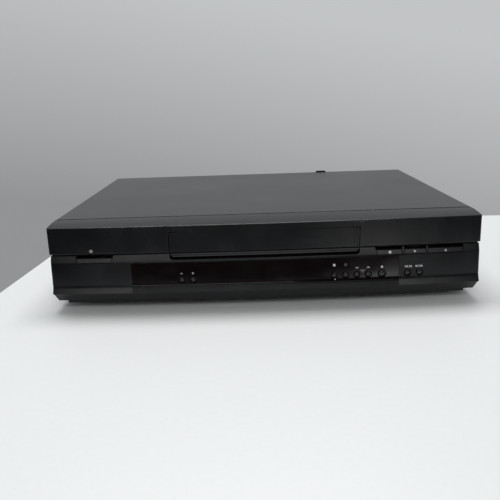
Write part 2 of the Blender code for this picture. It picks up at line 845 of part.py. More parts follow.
def panel_inside():
    """The hollow behind the front wall, open to the back."""
    wall = PANEL_WALL
    back = SEAM_DEPTH + CUT
    section = [
        (back, SEAM_HEIGHT - PANEL_TOP_WALL),
        (TOP_SETBACK + wall, TOP_EDGE_HEIGHT - PANEL_TOP_WALL),
        (GROOVE_SETBACK + wall, GROOVE_HEIGHT),
        (BELT_SETBACK + wall, BELT_HEIGHT),
        (flare(1 / 2) + wall, (BELT_HEIGHT + CHIN_HEIGHT) / 2),
        (UNDERCUT_SETBACK + wall, UNDERCUT_HEIGHT + PANEL_TOP_WALL),
        (back, UNDERCUT_HEIGHT + PANEL_TOP_WALL),
    ]
    half = HALF - PANEL_WALL - CHAMFER_INSET
    rings = []
    for x in stations(-half, half, FACE_STEPS):
        ring = []
        for setback_there, height in section:
            deep = setback_there >= back
            ring.append(at(x, setback_there + (0.0 if deep else bulge(x)), height))
        rings.append(ring)
    return loft("panel_inside", rings)


def tongue():
    """The rim that the cover slides over."""
    outer = COVER_INSIDE - GAP
    inner = outer - TONGUE_WALL
    top = COVER_TOP - COVER_WALL - GAP
    bottom = UNDERCUT_HEIGHT + PANEL_TOP_WALL
    outline = [
        (-outer, bottom),
        (-outer, top - COVER_BEND),
        (-outer + COVER_BEND, top),
        (outer - COVER_BEND, top),
        (outer, top - COVER_BEND),
        (outer, bottom),
        (inner, bottom),
        (inner, top - TONGUE_WALL),
        (-inner, top - TONGUE_WALL),
        (-inner, bottom),
    ]
    return prism("tongue", outline, 1, FRONT + SEAM_DEPTH - TONGUE_ROOT, FRONT + SEAM_DEPTH + TONGUE_LENGTH)


def keel():
    """The lower middle part of the chin."""
    section = [
        (KEEL_SETBACK, KEEL_HEIGHT),
        (KEEL_DEPTH, KEEL_HEIGHT),
        (KEEL_DEPTH, UNDERCUT_HEIGHT + PANEL_TOP_WALL / 2),
        (UNDERCUT_SETBACK + PANEL_WALL / 2, UNDERCUT_HEIGHT + PANEL_TOP_WALL / 2),
    ]
    return strip("keel", stations(-KEEL_HALF_WIDTH, KEEL_HALF_WIDTH, FACE_STEPS), section)


def sill():
    """The ledge that stands out a little under the window."""
    top = WINDOW_BOTTOM
    bottom = CHIN_HEIGHT + CHIN_ROUND
    outline = outline_between(bottom, top)
    front = [(back - SILL_PROUD * (height - bottom) / (top - bottom), height) for back, height in outline]
    section = [*front, (setback(top) + PANEL_WALL / 2, top), (setback(bottom) + PANEL_WALL / 2, bottom)]
    return strip("sill", stations(-WINDOW_HALF_WIDTH, WINDOW_HALF_WIDTH, FACE_STEPS), section)


def slot_outline(half, bottom, top, radius):
    """An upright opening with round lower corners, as (x, height)."""
    outline = [(-half, top)]
    outline += arc((-half + radius, bottom + radius), radius, 180, 270, CORNER_STEPS)
    outline += arc((half - radius, bottom + radius), radius, 270, 360, CORNER_STEPS)
    outline.append((half, top))
    return outline


def slot_cutter():
    """The cassette slot."""
    outline = slot_outline(SLOT_HALF_WIDTH, SLOT_BOTTOM, SLOT_TOP, SLOT_ROUND)
    return prism("slot_cutter", outline, 1, FRONT - CUT, FRONT + SEAM_DEPTH - TONGUE_ROOT - CUT)


def door_shape():
    """The flap's outline, with room all round inside the slot."""
    half = SLOT_HALF_WIDTH - DOOR_GAP
    outline = slot_outline(half, SLOT_BOTTOM + DOOR_SILL_GAP, SLOT_TOP, SLOT_ROUND)
    return prism("door_shape", outline, 1, FRONT - CUT, FRONT + SEAM_DEPTH)


def relief_cutter():
    """Room for the door's barrel behind the slot's upper edge."""
    front = setback(SLOT_TOP) + RELIEF_SKIN
    back = front + RELIEF_DEPTH
    low = SLOT_TOP - CUT
    high = SLOT_TOP + RELIEF_HEIGHT
    section = [(front, low), (back, low), (back, high), (front, high)]
    return strip("relief_cutter", stations(-SLOT_HALF_WIDTH, SLOT_HALF_WIDTH, FACE_STEPS // 2), section)


def hinge_depth():
    return setback(SLOT_TOP) + bulge(SLOT_HALF_WIDTH) + HINGE_BEHIND


def ear(side):
    """A block beside the slot that holds one of the door's pins."""
    inner = SLOT_HALF_WIDTH
    outer = inner + EAR_WIDTH
    left, right = sorted((side * inner, side * outer))
    low = (left, setback(SLOT_TOP) + PANEL_WALL / 2, HINGE_HEIGHT - EAR_HEIGHT)
    high = (right, setback(SLOT_TOP) + EAR_DEPTH, SEAM_HEIGHT - PANEL_TOP_WALL)
    return block(f"ear_{side}", low, high)


def pin_cutter(side):
    start = -SLOT_HALF_WIDTH - EAR_WIDTH + PIN_RADIUS if side < 0 else SLOT_HALF_WIDTH - CUT
    length = EAR_WIDTH - PIN_RADIUS + CUT
    return lying_rod(f"pin_hole_{side}", PIN_RADIUS + GAP, (start, hinge_depth(), HINGE_HEIGHT), length, "X")


def window_cutter():
    section = face_section(WINDOW_BOTTOM, WINDOW_TOP, WINDOW_SINK + WINDOW_WALL + GAP, -PANEL_WALL)
    return strip("window_cutter", stations(-WINDOW_HALF_WIDTH, WINDOW_HALF_WIDTH, FACE_STEPS), section)


def board_bosses():
    """Studs behind the wall that carry the front circuit board."""
    end = FRONT_BOARD_DEPTH - GAP
    low = FRONT_BOARD_BOTTOM + FRONT_BOSS_INSET
    places = [(share * FRONT_BOARD_HALF_WIDTH, low) for share in LOW_BOSS_SHARES]
    _, power_key_right, _, _ = KEYS["power_key"]
    for x in (power_key_right + HIGH_BOSS_GAP, SLOT_HALF_WIDTH + HIGH_BOSS_INSET):
        places.append((x, FRONT_BOARD_TOP - FRONT_BOSS_RADIUS))
    studs = []
    for x, height in places:
        start = panel_back(height, x) - PANEL_WALL / 3
        place = (x, start, height)
        studs.append(lying_rod("board_boss", FRONT_BOSS_RADIUS, place, end - start, "Y", steps=PIN_STEPS))
    return gathered("board_bosses", studs)


def display_cutter():
    low = (-DISPLAY_HALF_WIDTH, -CUT, DISPLAY_BOTTOM)
    high = (DISPLAY_HALF_WIDTH, SEAM_DEPTH - TONGUE_ROOT - CUT, DISPLAY_TOP)
    return block("display_cutter", low, high)


def hole_cutters(name, names):
    cutters = []
    for button in names:
        x, _, hole = ROUND_BUTTONS[button]
        length = SEAM_DEPTH - TONGUE_ROOT
        cutters.append(lying_rod(f"{button}_hole", hole, (x, -CUT, BUTTON_HEIGHT), length, "Y"))
    return gathered(name, cutters)


def key_cutters():
    cutters = []
    for name, (left, right, lean_left, lean_right) in KEYS.items():
        section = [
            (-CUT, KEY_BOTTOM - KEY_GAP),
            (SEAM_DEPTH - TONGUE_ROOT, KEY_BOTTOM - KEY_GAP),
            (SEAM_DEPTH - TONGUE_ROOT, KEY_SLOT_TOP),
            (-CUT, KEY_SLOT_TOP),
        ]
        lean = (KEY_BOTTOM, KEY_TOP, lean_left, lean_right)
        cutters.append(strip(f"{name}_hole", (left - KEY_GAP, right + KEY_GAP), section, lean=lean))
    return gathered("key_cutters", cutters)


def front_panel():
    """The moulded front: a curved shell with a waist groove, a flared chin and all its openings."""
    panel = panel_shell_outside()
    cut(panel, panel_inside())
    join(panel, tongue(), keel(), sill(), ear(-1), ear(1), board_bosses())
    cut(panel, slot_cutter(), relief_cutter(), pin_cutter(-1), pin_cutter(1))
    cut(panel, window_cutter(), display_cutter(), hole_cutters("button_holes", ROUND_BUTTONS), key_cutters())
    return panel


def door_outline(groove):
    """The door's front face as (setback, height), with the recorder's waist and one more fine line."""
    bottom = SLOT_BOTTOM + DOOR_SILL_GAP
    top = SLOT_TOP - DOOR_GAP
    line = [
        (setback(DOOR_LINE_HEIGHT - DOOR_LINE_WIDTH), DOOR_LINE_HEIGHT - DOOR_LINE_WIDTH),
        (setback(DOOR_LINE_HEIGHT) + DOOR_LINE_DEPTH, DOOR_LINE_HEIGHT),
        (setback(DOOR_LINE_HEIGHT + DOOR_LINE_WIDTH), DOOR_LINE_HEIGHT + DOOR_LINE_WIDTH),
    ]
    points = [*outline_between(bottom, top), *line]
    points.sort(key=lambda point: point[1])
    return [(back + (groove if height > LIP_HEIGHT - GAP else 0.0), height) for back, height in points]


def door_places():
    """Places along X on the flap, with the depth of the fine upright line near either end."""
    half = SLOT_HALF_WIDTH - DOOR_GAP
    rib = half - DOOR_RIB_INSET
    edge = DOOR_RIB_WIDTH / 2
    right = [(rib - edge, 0.0), (rib, DOOR_RIB_DEPTH), (rib + edge, 0.0), (half, 0.0)]
    left = [(-x, groove) for x, groove in reversed(right)]
    middle = [(x, 0.0) for x in stations(-rib + 2 * edge, rib - 2 * edge, FACE_STEPS // 2)]
    return left + middle + right


def cassette_door():
    """The flap over the slot. It hangs on two pins behind the slot's upper edge."""
    rings = []
    for x, groove in door_places():
        front = door_outline(groove)
        top_back = front[-1][0] - groove + DOOR_WALL
        bottom_back = front[0][0] + DOOR_WALL
        waist_back = GROOVE_SETBACK + DOOR_WALL / 2
        section = [*front, (top_back, front[-1][1]), (waist_back, GROOVE_HEIGHT), (bottom_back, front[0][1])]
        rings.append([at(x, back + bulge(x), height) for back, height in section])
    door = loft("cassette_door", rings, panel_plastic())
    door.data.transform(Matrix.Translation(-at(0.0, hinge_depth(), HINGE_HEIGHT)))
    move(door, at(0.0, hinge_depth(), HINGE_HEIGHT))
    change(door, door_shape(), "INTERSECT")
    cut(door, spring_notch())
    return join(door, door_barrel(), door_neck(), door_pins())


def spring_notch():
    """Room for the spring behind a thin skin at the flap's upper left corner."""
    left = -SLOT_HALF_WIDTH - CUT
    right = -SLOT_HALF_WIDTH + DOOR_GAP + SPRING_ROOM
    low = SLOT_TOP - SPRING_NOTCH
    skin = setback(low) + SPRING_SKIN
    section = [(skin, low), (skin + 2 * DOOR_WALL, low), (skin + 2 * DOOR_WALL, SLOT_TOP), (skin, SLOT_TOP)]
    return strip("spring_notch", stations(left, right, KEY_STEPS), section)


def door_barrel():
    left = -SLOT_HALF_WIDTH + DOOR_GAP + SPRING_ROOM
    length = SLOT_HALF_WIDTH - DOOR_GAP - left
    return lying_rod("door_barrel", BARREL_RADIUS, (left, hinge_depth(), HINGE_HEIGHT), length, "X")


def door_neck():
    """Joins the barrel to the flap behind the slot's upper edge."""
    left = -SLOT_HALF_WIDTH + DOOR_GAP + SPRING_ROOM
    right = SLOT_HALF_WIDTH - DOOR_GAP
    behind = hinge_depth() + BARREL_RADIUS - GAP
    front = setback(SLOT_TOP) + RELIEF_SKIN + GAP
    section = [
        (front, SLOT_TOP - DOOR_WALL),
        (behind - bulge(SLOT_HALF_WIDTH), SLOT_TOP - DOOR_WALL),
        (behind - bulge(SLOT_HALF_WIDTH), HINGE_HEIGHT),
        (front + BARREL_RADIUS / 2, HINGE_HEIGHT),
        (front, SLOT_TOP),
    ]
    return strip("door_neck", stations(left, right, FACE_STEPS // 2), section)


def door_pins():
    reach = SLOT_HALF_WIDTH + PIN_LENGTH - GAP
    return lying_rod("door_pins", PIN_RADIUS, (-reach, hinge_depth(), HINGE_HEIGHT), 2 * reach, "X")


def door_spring():
    """A coil round the door's left pin."""
    curve = bpy.data.curves.new("door_spring", "CURVE")
    curve.dimensions = "3D"
    curve.bevel_depth = SPRING_WIRE
    curve.bevel_resolution = 1
    curve.use_fill_caps = True
    count = SPRING_CURLS * SPRING_STEPS + 1
    start = -SLOT_HALF_WIDTH + DOOR_GAP + GAP + SPRING_WIRE
    spline = curve.splines.new("POLY")
    spline.points.add(count - 1)
    places = []
    for number in range(count):
        angle = 2 * math.pi * number / SPRING_STEPS
        x = start + SPRING_PITCH * number / SPRING_STEPS
        places.append(Vector((x, SPRING_RADIUS * math.cos(angle), SPRING_RADIUS * math.sin(angle))))
    for point, place in zip(spline.points, places):
        point.co = (*place, 1.0)
    curve.materials.append(machined_metal())
    spring = bpy.data.objects.new("door_spring", curve)
    bpy.context.scene.collection.objects.link(spring)
    least = min(
        (a - b).length
        for number, a in enumerate(places)
        for b in places[number + SPRING_STEPS // 2:]
    )
    print(f"least gap of the spring to itself: {(least - 2 * SPRING_WIRE) * 1000:.2f} mm")
    return move(spring, at(0.0, hinge_depth(), HINGE_HEIGHT))


def display_window():
    low = WINDOW_BOTTOM + WINDOW_END_GAP
    high = WINDOW_TOP - WINDOW_END_GAP
    outline = outline_between(low, high)
    front = [(back + WINDOW_SINK, height) for back, height in outline]
    rear = [(back + WINDOW_WALL, height) for back, height in reversed(front)]
    half = WINDOW_HALF_WIDTH - WINDOW_END_GAP
    window = strip("display_window", stations(-half, half, FACE_STEPS), [*front, *rear], window_plastic())
    in_window = [name for name, (x, _, _) in ROUND_BUTTONS.items() if abs(x) < WINDOW_HALF_WIDTH]
    return cut(window, hole_cutters("window_holes", in_window))


def display_tube():
    low = (-DISPLAY_HALF_WIDTH + GAP, DISPLAY_FRONT, DISPLAY_BOTTOM + GAP)
    high = (DISPLAY_HALF_WIDTH - GAP, FRONT_BOARD_DEPTH - GAP, DISPLAY_TOP - GAP)
    return block("display_tube", low, high, display_glass())


def switch(name, x, height):
    """A push switch on the front board: a square body and a round plunger."""
    half = SWITCH_SIZE / 2
    low = (x - half, FRONT_BOARD_DEPTH - SWITCH_DEPTH, height - half)
    body = block(f"{name}_switch", low, (x + half, FRONT_BOARD_DEPTH + BOARD_WALL / 2, height + half))
    tip = (x, SWITCH_FACE, height)
    plunger = lying_rod(f"{name}_plunger", PLUNGER_RADIUS, tip, 2 * PLUNGER_DEPTH, "Y", steps=PIN_STEPS)
    return [body, plunger]


def key_middle(name):
    left, right, _, _ = KEYS[name]
    return (left + right) / 2


def front_circuit_board():
    half = FRONT_BOARD_HALF_WIDTH
    low = (-half, FRONT_BOARD_DEPTH, FRONT_BOARD_BOTTOM)
    high = (half, FRONT_BOARD_DEPTH + BOARD_WALL, FRONT_BOARD_TOP)
    resin = block("front_circuit_board", low, high, board_resin())
    bodies = []
    plungers = []
    for name, (x, _, _) in ROUND_BUTTONS.items():
        body, plunger = switch(name, x, BUTTON_HEIGHT)
        bodies.append(body)
        plungers.append(plunger)
    for name in KEYS:
        body, plunger = switch(name, key_middle(name), KEY_SWITCH_HEIGHT)
        bodies.append(body)
        plungers.append(plunger)
    return join(resin, gathered("switch_bodies", bodies), gathered("switch_plungers", plungers))


def panel_back(height, x):
    """Depth of the front wall's rear face at a height and a place along X."""
    points = [
        (GROOVE_SETBACK, GROOVE_HEIGHT),
        (BELT_SETBACK, BELT_HEIGHT),
        (flare(1 / 2), (BELT_HEIGHT + CHIN_HEIGHT) / 2),
        (UNDERCUT_SETBACK, UNDERCUT_HEIGHT + PANEL_TOP_WALL),
    ]
    for (back, high), (next_back, low) in zip(points, points[1:]):
        if low <= height <= high:
            share = (high - height) / (high - low)
            return back + share * (next_back - back) + PANEL_WALL + bulge(x)
    return points[0][0] + PANEL_WALL + bulge(x)


def round_button(name, x, cap, hole):
    """A domed cap, a flange behind the wall and a stem to its switch, turned about Y."""
    flange = hole + FLANGE_RIM
    lean = panel_back(BUTTON_HEIGHT + flange, x) - panel_back(BUTTON_HEIGHT, x)
    face = setback(BUTTON_HEIGHT) + bulge(x) - BUTTON_PROUD
    behind = panel_back(BUTTON_HEIGHT, x) + lean + BULGE * flange / HALF + GAP
    stem_end = SWITCH_FACE - BUTTON_TRAVEL - GAP
    profile = [
        (0.0, stem_end),
        (STEM_RADIUS, stem_end),
        (STEM_RADIUS, behind + FLANGE_WALL),
        (flange, behind + FLANGE_WALL),
        (flange, behind),
        (cap, behind),
        (cap, face + BUTTON_DOME),
        (cap * DOME_RADIUS_SHARE, face + BUTTON_DOME * DOME_HEIGHT_SHARE),
        (0.0, face),
    ]
    button = aim(turned(name, [(radius, depth - face) for radius, depth in profile], button_plastic()), "Y")
    return move(button, at(x, face, BUTTON_HEIGHT))


def waist_key(name, left, right, lean_left, lean_right):
    """A key that fills its cut-out in the waist, with a leg down behind the wall to its switch."""
    middle = key_middle(name)
    section = face_section(KEY_BOTTOM, KEY_TOP, KEY_SINK, GROOVE_SETBACK + PANEL_WALL + KEY_LEG_WALL)
    lean = (KEY_BOTTOM, KEY_TOP, lean_left, lean_right)
    key = strip(name, stations(left, right, KEY_STEPS), section, button_plastic(), lean)
    key.data.transform(Matrix.Translation(-at(middle, 0.0, KEY_BOTTOM)))
    move(key, at(middle, 0.0, KEY_BOTTOM))
    rim = KEY_LEG_RIM
    low = KEY_LEG_BOTTOM
    high = KEY_BOTTOM + rim
    front = PANEL_WALL + GAP
    leg_section = [
        (setback(low) + front, low),
        (BELT_SETBACK + front, BELT_HEIGHT),
        (setback(high) + front + GAP, high),
        (setback(high) + front + KEY_LEG_WALL, high),
        (setback(low) + front + KEY_LEG_WALL, low),
    ]
    leg = strip(f"{name}_leg", stations(left - rim, right + rim, KEY_STEPS), leg_section)
    stem_start = setback(KEY_SWITCH_HEIGHT) + bulge(middle) + front + GAP
    stem_length = SWITCH_FACE - BUTTON_TRAVEL - GAP - stem_start
    place = (middle, stem_start, KEY_SWITCH_HEIGHT)
    stem = lying_rod(f"{name}_stem", STEM_RADIUS, place, stem_length, "Y", steps=PIN_STEPS)
    return join(key, leg, stem)


def cover_section():
    """The cover's section as (x, height): top, bent sides and the inward lips."""
    bend = COVER_BEND
    inner_bend = COVER_BEND - COVER_WALL
    inside = COVER_INSIDE
    lip = inside - COVER_LIP
    right = [(lip, COVER_BOTTOM), (HALF, COVER_BOTTOM)]
    right += arc((HALF - bend, COVER_TOP - bend), bend, 0, 90, CORNER_STEPS)
    inner = arc((inside - inner_bend, COVER_TOP - COVER_WALL - inner_bend), inner_bend, 90, 0, CORNER_STEPS)
    inner += [(inside, COVER_BOTTOM + COVER_WALL), (lip, COVER_BOTTOM + COVER_WALL)]
    left_outer = [(-x, height) for x, height in reversed(right)]
    left_inner = [(-x, height) for x, height in reversed(inner)]
    return right + left_outer + left_inner + inner


def top_cover():
    """Bent sheet steel over the top and both sides, with vent slots towards the back."""
    start = FRONT + SEAM_DEPTH + GAP
    cover = prism("top_cover", cover_section(), 1, start, FRONT + CASE_DEPTH, cover_paint())
    slots = []
    first = CASE_DEPTH - VENT_BACK_INSET - (VENTS - 1) * VENT_PITCH
    for number in range(VENTS):
        depth = first + number * VENT_PITCH
        low = (-HALF - CUT, depth, VENT_BOTTOM)
        high = (HALF + CUT, depth + VENT_WIDTH, VENT_TOP)
        slots.append(block(f"vent_{number}", low, high))
    return cut(cover, gathered("cover_vents", slots))


def tray_bosses():
    """Bosses for the boards and pillars for the deck."""
    low = FOOT_HEIGHT + TRAY_FLOOR / 2
    inset = 2 * BOSS_RADIUS
    found = []
    places = [
        (POWER_BOARD_LEFT + inset, POWER_BOARD_FRONT + inset),
        (POWER_BOARD_RIGHT - inset, POWER_BOARD_FRONT + inset),
        (POWER_BOARD_LEFT + inset, MAIN_BOARD_BACK - inset),
        (POWER_BOARD_RIGHT - inset, MAIN_BOARD_BACK - inset),
        (MAIN_BOARD_RIGHT - inset, MAIN_BOARD_FRONT + inset),
        (MAIN_BOARD_RIGHT - inset, MAIN_BOARD_BACK - inset),
        (0.0, MAIN_BOARD_FRONT + inset),
        (0.0, MAIN_BOARD_BACK - inset),
    ]
    for place in places:
        found.append(rod("boss", BOSS_RADIUS, low, MAIN_BOARD_HEIGHT - GAP, place, steps=PIN_STEPS))
    for place in deck_feet():
        found.append(rod("pillar", PILLAR_RADIUS, low, DECK_HEIGHT - GAP, place, steps=PIN_STEPS))
    return gathered("tray_bosses", found)


def deck_feet():
    front = DECK_FRONT + DECK_FOOT_INSET
    back = DECK_BACK - DECK_FOOT_INSET
    return [(side * DECK_FOOT_X, depth) for side in (-1, 1) for depth in (front, back)]


def bottom_plate():
    """A shallow steel tray, open at the back: floor, turned up rims, bosses and vent slots."""
    front = SEAM_DEPTH + GAP
    back = REAR_INSIDE - GAP
    half = TRAY_HALF_WIDTH
    tray = block("bottom_plate", (-half, front, FOOT_HEIGHT), (half, back, TRAY_RIM), chassis_steel())
    wall = TRAY_WALL
    low = (-half + wall, front + wall, FOOT_HEIGHT + TRAY_FLOOR)
    hollow = block("tray_hollow", low, (half - wall, back + CUT, TRAY_RIM + CUT))
    slots = []
    fields = [(POWER_BOARD_LEFT, POWER_BOARD_FRONT), (-TRAY_SLOT_LENGTH / 2, DRIVE_PULLEY_DEPTH)]
    for number in range(TRAY_SLOTS):
        for left, depth in fields:
            x = left + 4 * BOSS_RADIUS
            start = depth + 4 * BOSS_RADIUS + number * TRAY_SLOT_PITCH
            corner = (x, start, FOOT_HEIGHT - CUT)
            far = (x + TRAY_SLOT_LENGTH, start + TRAY_SLOT_WIDTH, FOOT_HEIGHT + TRAY_FLOOR + CUT)
            slots.append(block(f"tray_slot_{number}", corner, far))
    cut(tray, hollow, gathered("tray_slots", slots))
    return join(tray, tray_bosses())


def foot(name, x, depth):
    profile = [
        (0.0, 0.0),
        (FOOT_TIP_RADIUS - FOOT_ROUND, 0.0),
        (FOOT_TIP_RADIUS, FOOT_ROUND),
        (FOOT_RADIUS, FOOT_HEIGHT - FOOT_ROUND),
        (FOOT_RADIUS, FOOT_HEIGHT - GAP),
        (0.0, FOOT_HEIGHT - GAP),
    ]
    return move(turned(name, profile, rubber()), at(x, depth, 0.0))


def scart_outline(width, height, lean):
    """A socket outline with one slanted lower end, round its own middle."""
    half = width / 2
    tall = height / 2
    return [(-half, -tall), (half - lean, -tall), (half, -tall + lean), (half, tall), (-half, tall)]


def rear_openings():
    """All cut-outs of the rear panel."""
    start = FRONT + REAR_INSIDE - CUT
    end = FRONT + REAR_FACE + CUT
    found = []
    for name, height in SCART_HEIGHTS.items():
        outline = scart_outline(SCART_WIDTH + 2 * GAP, SCART_HEIGHT + 2 * GAP, SCART_LEAN)
        moved = [(x + SOCKET_COLUMN_X, z + height) for x, z in outline]
        found.append(prism(f"{name}_hole", moved, 1, start, end))
    for height in AERIAL_HEIGHTS:
        hole = COAX_COLLAR + GAP
        found.append(lying_rod("aerial_hole", hole, (AERIAL_X, REAR_INSIDE - CUT, height), end - start, "Y"))
    for height in PHONO_HEIGHTS:
        hole = PHONO_RADIUS + GAP
        found.append(lying_rod("phono_hole", hole, (PHONO_X, REAR_INSIDE - CUT, height), end - start, "Y"))
    half = INLET_WIDTH / 2 + GAP
    tall = INLET_TALL / 2 + GAP
    low = (INLET_X - half, REAR_INSIDE - CUT, INLET_HEIGHT - tall)
    found.append(block("inlet_hole", low, (INLET_X + half, REAR_FACE + CUT, INLET_HEIGHT + tall)))
    for number in range(REAR_VENTS):
        x = REAR_VENT_X + number * REAR_VENT_PITCH
        low = (x, REAR_INSIDE - CUT, REAR_VENT_BOTTOM)
        found.append(block("rear_vent", low, (x + REAR_VENT_WIDTH, REAR_FACE + CUT, REAR_VENT_TOP)))
    return gathered("rear_openings", found)


def rear_panel():
    """The back wall, with cut-outs for the sockets and a screw tab that rises behind the cover."""
    half = COVER_INSIDE - GAP
    inside_top = COVER_TOP - COVER_WALL - GAP
    low = COVER_BOTTOM + COVER_WALL + GAP
    lip = half - COVER_LIP - GAP
    outline = [
        (-half, low),
        (-half, inside_top - COVER_BEND),
        (-half + COVER_BEND, inside_top),
        (half - COVER_BEND, inside_top),
        (half, inside_top - COVER_BEND),
        (half, low),
        (lip, low),
        (lip, REAR_BOTTOM),
        (-lip, REAR_BOTTOM),
        (-lip, low),
    ]
    panel = prism("rear_panel", outline, 1, FRONT + REAR_INSIDE, FRONT + REAR_FACE, panel_plastic())
    join(panel, tab_root(inside_top), rear_tab())
    return cut(panel, rear_openings())


def tab_root(top):
    """The step that carries the screw tab past the cover's edge."""
    low = (TAB_X - TAB_WIDTH / 2, REAR_FACE - REAR_WALL / 2, COVER_TOP - TAB_DROP)
    high = (TAB_X + TAB_WIDTH / 2, CASE_DEPTH + GAP + TAB_WALL, top)
    return block("tab_root", low, high)


def rear_tab():
    """The screw tab, with round upper corners."""
    left = TAB_X - TAB_WIDTH / 2 + TAB_ROUND
    right = TAB_X + TAB_WIDTH / 2 - TAB_ROUND
    middle = COVER_TOP + TAB_RISE - TAB_ROUND
    outline = arc((right, middle), TAB_ROUND, 0, 90, CORNER_STEPS)
    outline += arc((left, middle), TAB_ROUND, 90, 180, CORNER_STEPS)
    outline += [(left - TAB_ROUND, COVER_TOP - TAB_DROP), (right + TAB_ROUND, COVER_TOP - TAB_DROP)]
    start = FRONT + CASE_DEPTH + GAP
    return prism("rear_tab", outline, 1, start, start + TAB_WALL)


def scart_socket(name, height):
    """A shell with a slanted end, and the contact block standing in it."""
    start = REAR_FACE - SCART_DEPTH
    end = REAR_FACE + SCART_PROUD
    outline = scart_outline(SCART_WIDTH, SCART_HEIGHT, SCART_LEAN)
    shell = prism(name, outline, 1, 0.0, end - start, panel_plastic())
    move(shell, at(SOCKET_COLUMN_X, start, height))
    inner = scart_outline(SCART_WIDTH - 2 * SCART_WALL, SCART_HEIGHT - 2 * SCART_WALL, SCART_LEAN)
    recess = prism(f"{name}_recess", inner, 1, end - start - SCART_RECESS, end - start + CUT)
    move(recess, at(SOCKET_COLUMN_X, start, height))
    cut(shell, recess)
    core = scart_outline(SCART_WIDTH - 6 * SCART_WALL, SCART_HEIGHT - 6 * SCART_WALL, SCART_LEAN)
    contacts = prism(f"{name}_core", core, 1, end - start - SCART_RECESS - CUT, end - start - SCART_PROUD)
    move(contacts, at(SOCKET_COLUMN_X, start, height))
    return join(shell, contacts)


def aerial_unit():
    """A screening can on the main board with two coaxial sockets."""
    start = REAR_INSIDE - GAP - AERIAL_DEPTH
    half = AERIAL_WIDTH / 2
    back = start + AERIAL_DEPTH
    low = (AERIAL_X - half, start, BOARD_TOP + GAP)
    can = block("aerial_unit", low, (AERIAL_X + half, back, AERIAL_TOP), chassis_steel())
    reach = CASE_DEPTH + SOCKET_REACH - back
    for number, height in enumerate(AERIAL_HEIGHTS):
        profile = [
            (0.0, -CUT),
            (COAX_COLLAR, -CUT),
            (COAX_COLLAR, REAR_WALL + GAP + COAX_WALL),
            (COAX_RADIUS, REAR_WALL + GAP + COAX_WALL),
            (COAX_RADIUS, reach),
            (COAX_RADIUS - COAX_WALL, reach),
            (COAX_RADIUS - COAX_WALL, REAR_WALL),
            (COAX_CORE, REAR_WALL),
            (COAX_CORE, reach - COAX_WALL),
            (0.0, reach - COAX_WALL),
        ]
        barrel = aim(turned(f"coax_{number}", profile), "Y")
        join(can, move(barrel, at(AERIAL_X, back, height)))
    return can


def phono_sockets():
    start = REAR_INSIDE - GAP - PHONO_WIDTH
    half = PHONO_WIDTH / 2
    back = start + PHONO_WIDTH
    low = (PHONO_X - half, start, BOARD_TOP + GAP)
    body = block("phono_sockets", low, (PHONO_X + half, back, PHONO_TOP), button_plastic())
    reach = REAR_WALL + GAP + PHONO_REACH
    for number, height in enumerate(PHONO_HEIGHTS):
        profile = [
            (0.0, -CUT),
            (PHONO_RADIUS, -CUT),
            (PHONO_RADIUS, reach),
            (PHONO_BORE, reach),
            (PHONO_BORE, CUT),
            (0.0, CUT),
        ]
        barrel = aim(turned(f"phono_{number}", profile), "Y")
        join(body, move(barrel, at(PHONO_X, back, height)))
    return body


def mains_inlet():
    """A figure of eight inlet with two pins."""
    half = INLET_WIDTH / 2
    tall = INLET_TALL / 2
    start = REAR_FACE - INLET_DEPTH
    low = (INLET_X - half, start, INLET_HEIGHT - tall)
    body = block("mains_inlet", low, (INLET_X + half, REAR_FACE + GAP, INLET_HEIGHT + tall), panel_plastic())
    offset = INLET_PIN_SPACING / 2
    outline = arc((INLET_X - offset, INLET_HEIGHT), INLET_BORE, 90, 270, HALF_ROUND_STEPS)
    outline += arc((INLET_X + offset, INLET_HEIGHT), INLET_BORE, 270, 450, HALF_ROUND_STEPS)
    recess = prism("inlet_recess", outline, 1, FRONT + REAR_FACE - INLET_RECESS, FRONT + REAR_FACE + CUT)
    pins = []
    length = INLET_PIN_LENGTH + CUT
    for side in (-1, 1):
        base = (INLET_X + side * offset, REAR_FACE - INLET_RECESS - CUT, INLET_HEIGHT)
        pins.append(lying_rod("inlet_pin", INLET_PIN_RADIUS, base, length, "Y", steps=PIN_STEPS))
    stand_low = (INLET_X - half, start, BOARD_TOP + GAP)
    stand = block("inlet_stand", stand_low, (INLET_X + half, start + INLET_DEPTH / 3, INLET_HEIGHT))
    cut(body, recess)
    return join(body, gathered("inlet_pins", pins), stand)


def board(name, left, right, front, back, holes=()):
    made = block(name, (left, front, MAIN_BOARD_HEIGHT), (right, back, BOARD_TOP), board_resin())
    hole = PILLAR_RADIUS + SLIDE_GAP
    low = MAIN_BOARD_HEIGHT - CUT
    cutters = [rod("board_hole", hole, low, BOARD_TOP + CUT, place, steps=PIN_STEPS) for place in holes]
    return cut(made, gathered(f"{name}_holes", cutters)) if cutters else made


def board_parts(name, low_corner, high_corner, blocks, cans):
    """Parts that stand on the region of a board between two corners, given as (x, depth)."""
    left, front = low_corner
    right, back = high_corner
    low = BOARD_TOP - BOARD_WALL / 2
    found = []
    for across, along, half_share, deep_share, tall_share in blocks:
        x = left + across * (right - left)
        depth = front + along * (back - front)
        half = half_share * COMPONENT
        deep = deep_share * COMPONENT
        high = BOARD_TOP + tall_share * COMPONENT
        found.append(block("board_block", (x - half, depth - deep, low), (x + half, depth + deep, high)))
    for across, along, radius_share, tall_share in cans:
        place = (left + across * (right - left), front + along * (back - front))
        high = BOARD_TOP + tall_share * COMPONENT
        found.append(rod("board_can", radius_share * COMPONENT, low, high, place, steps=PIN_STEPS))
    return gathered(name, found)


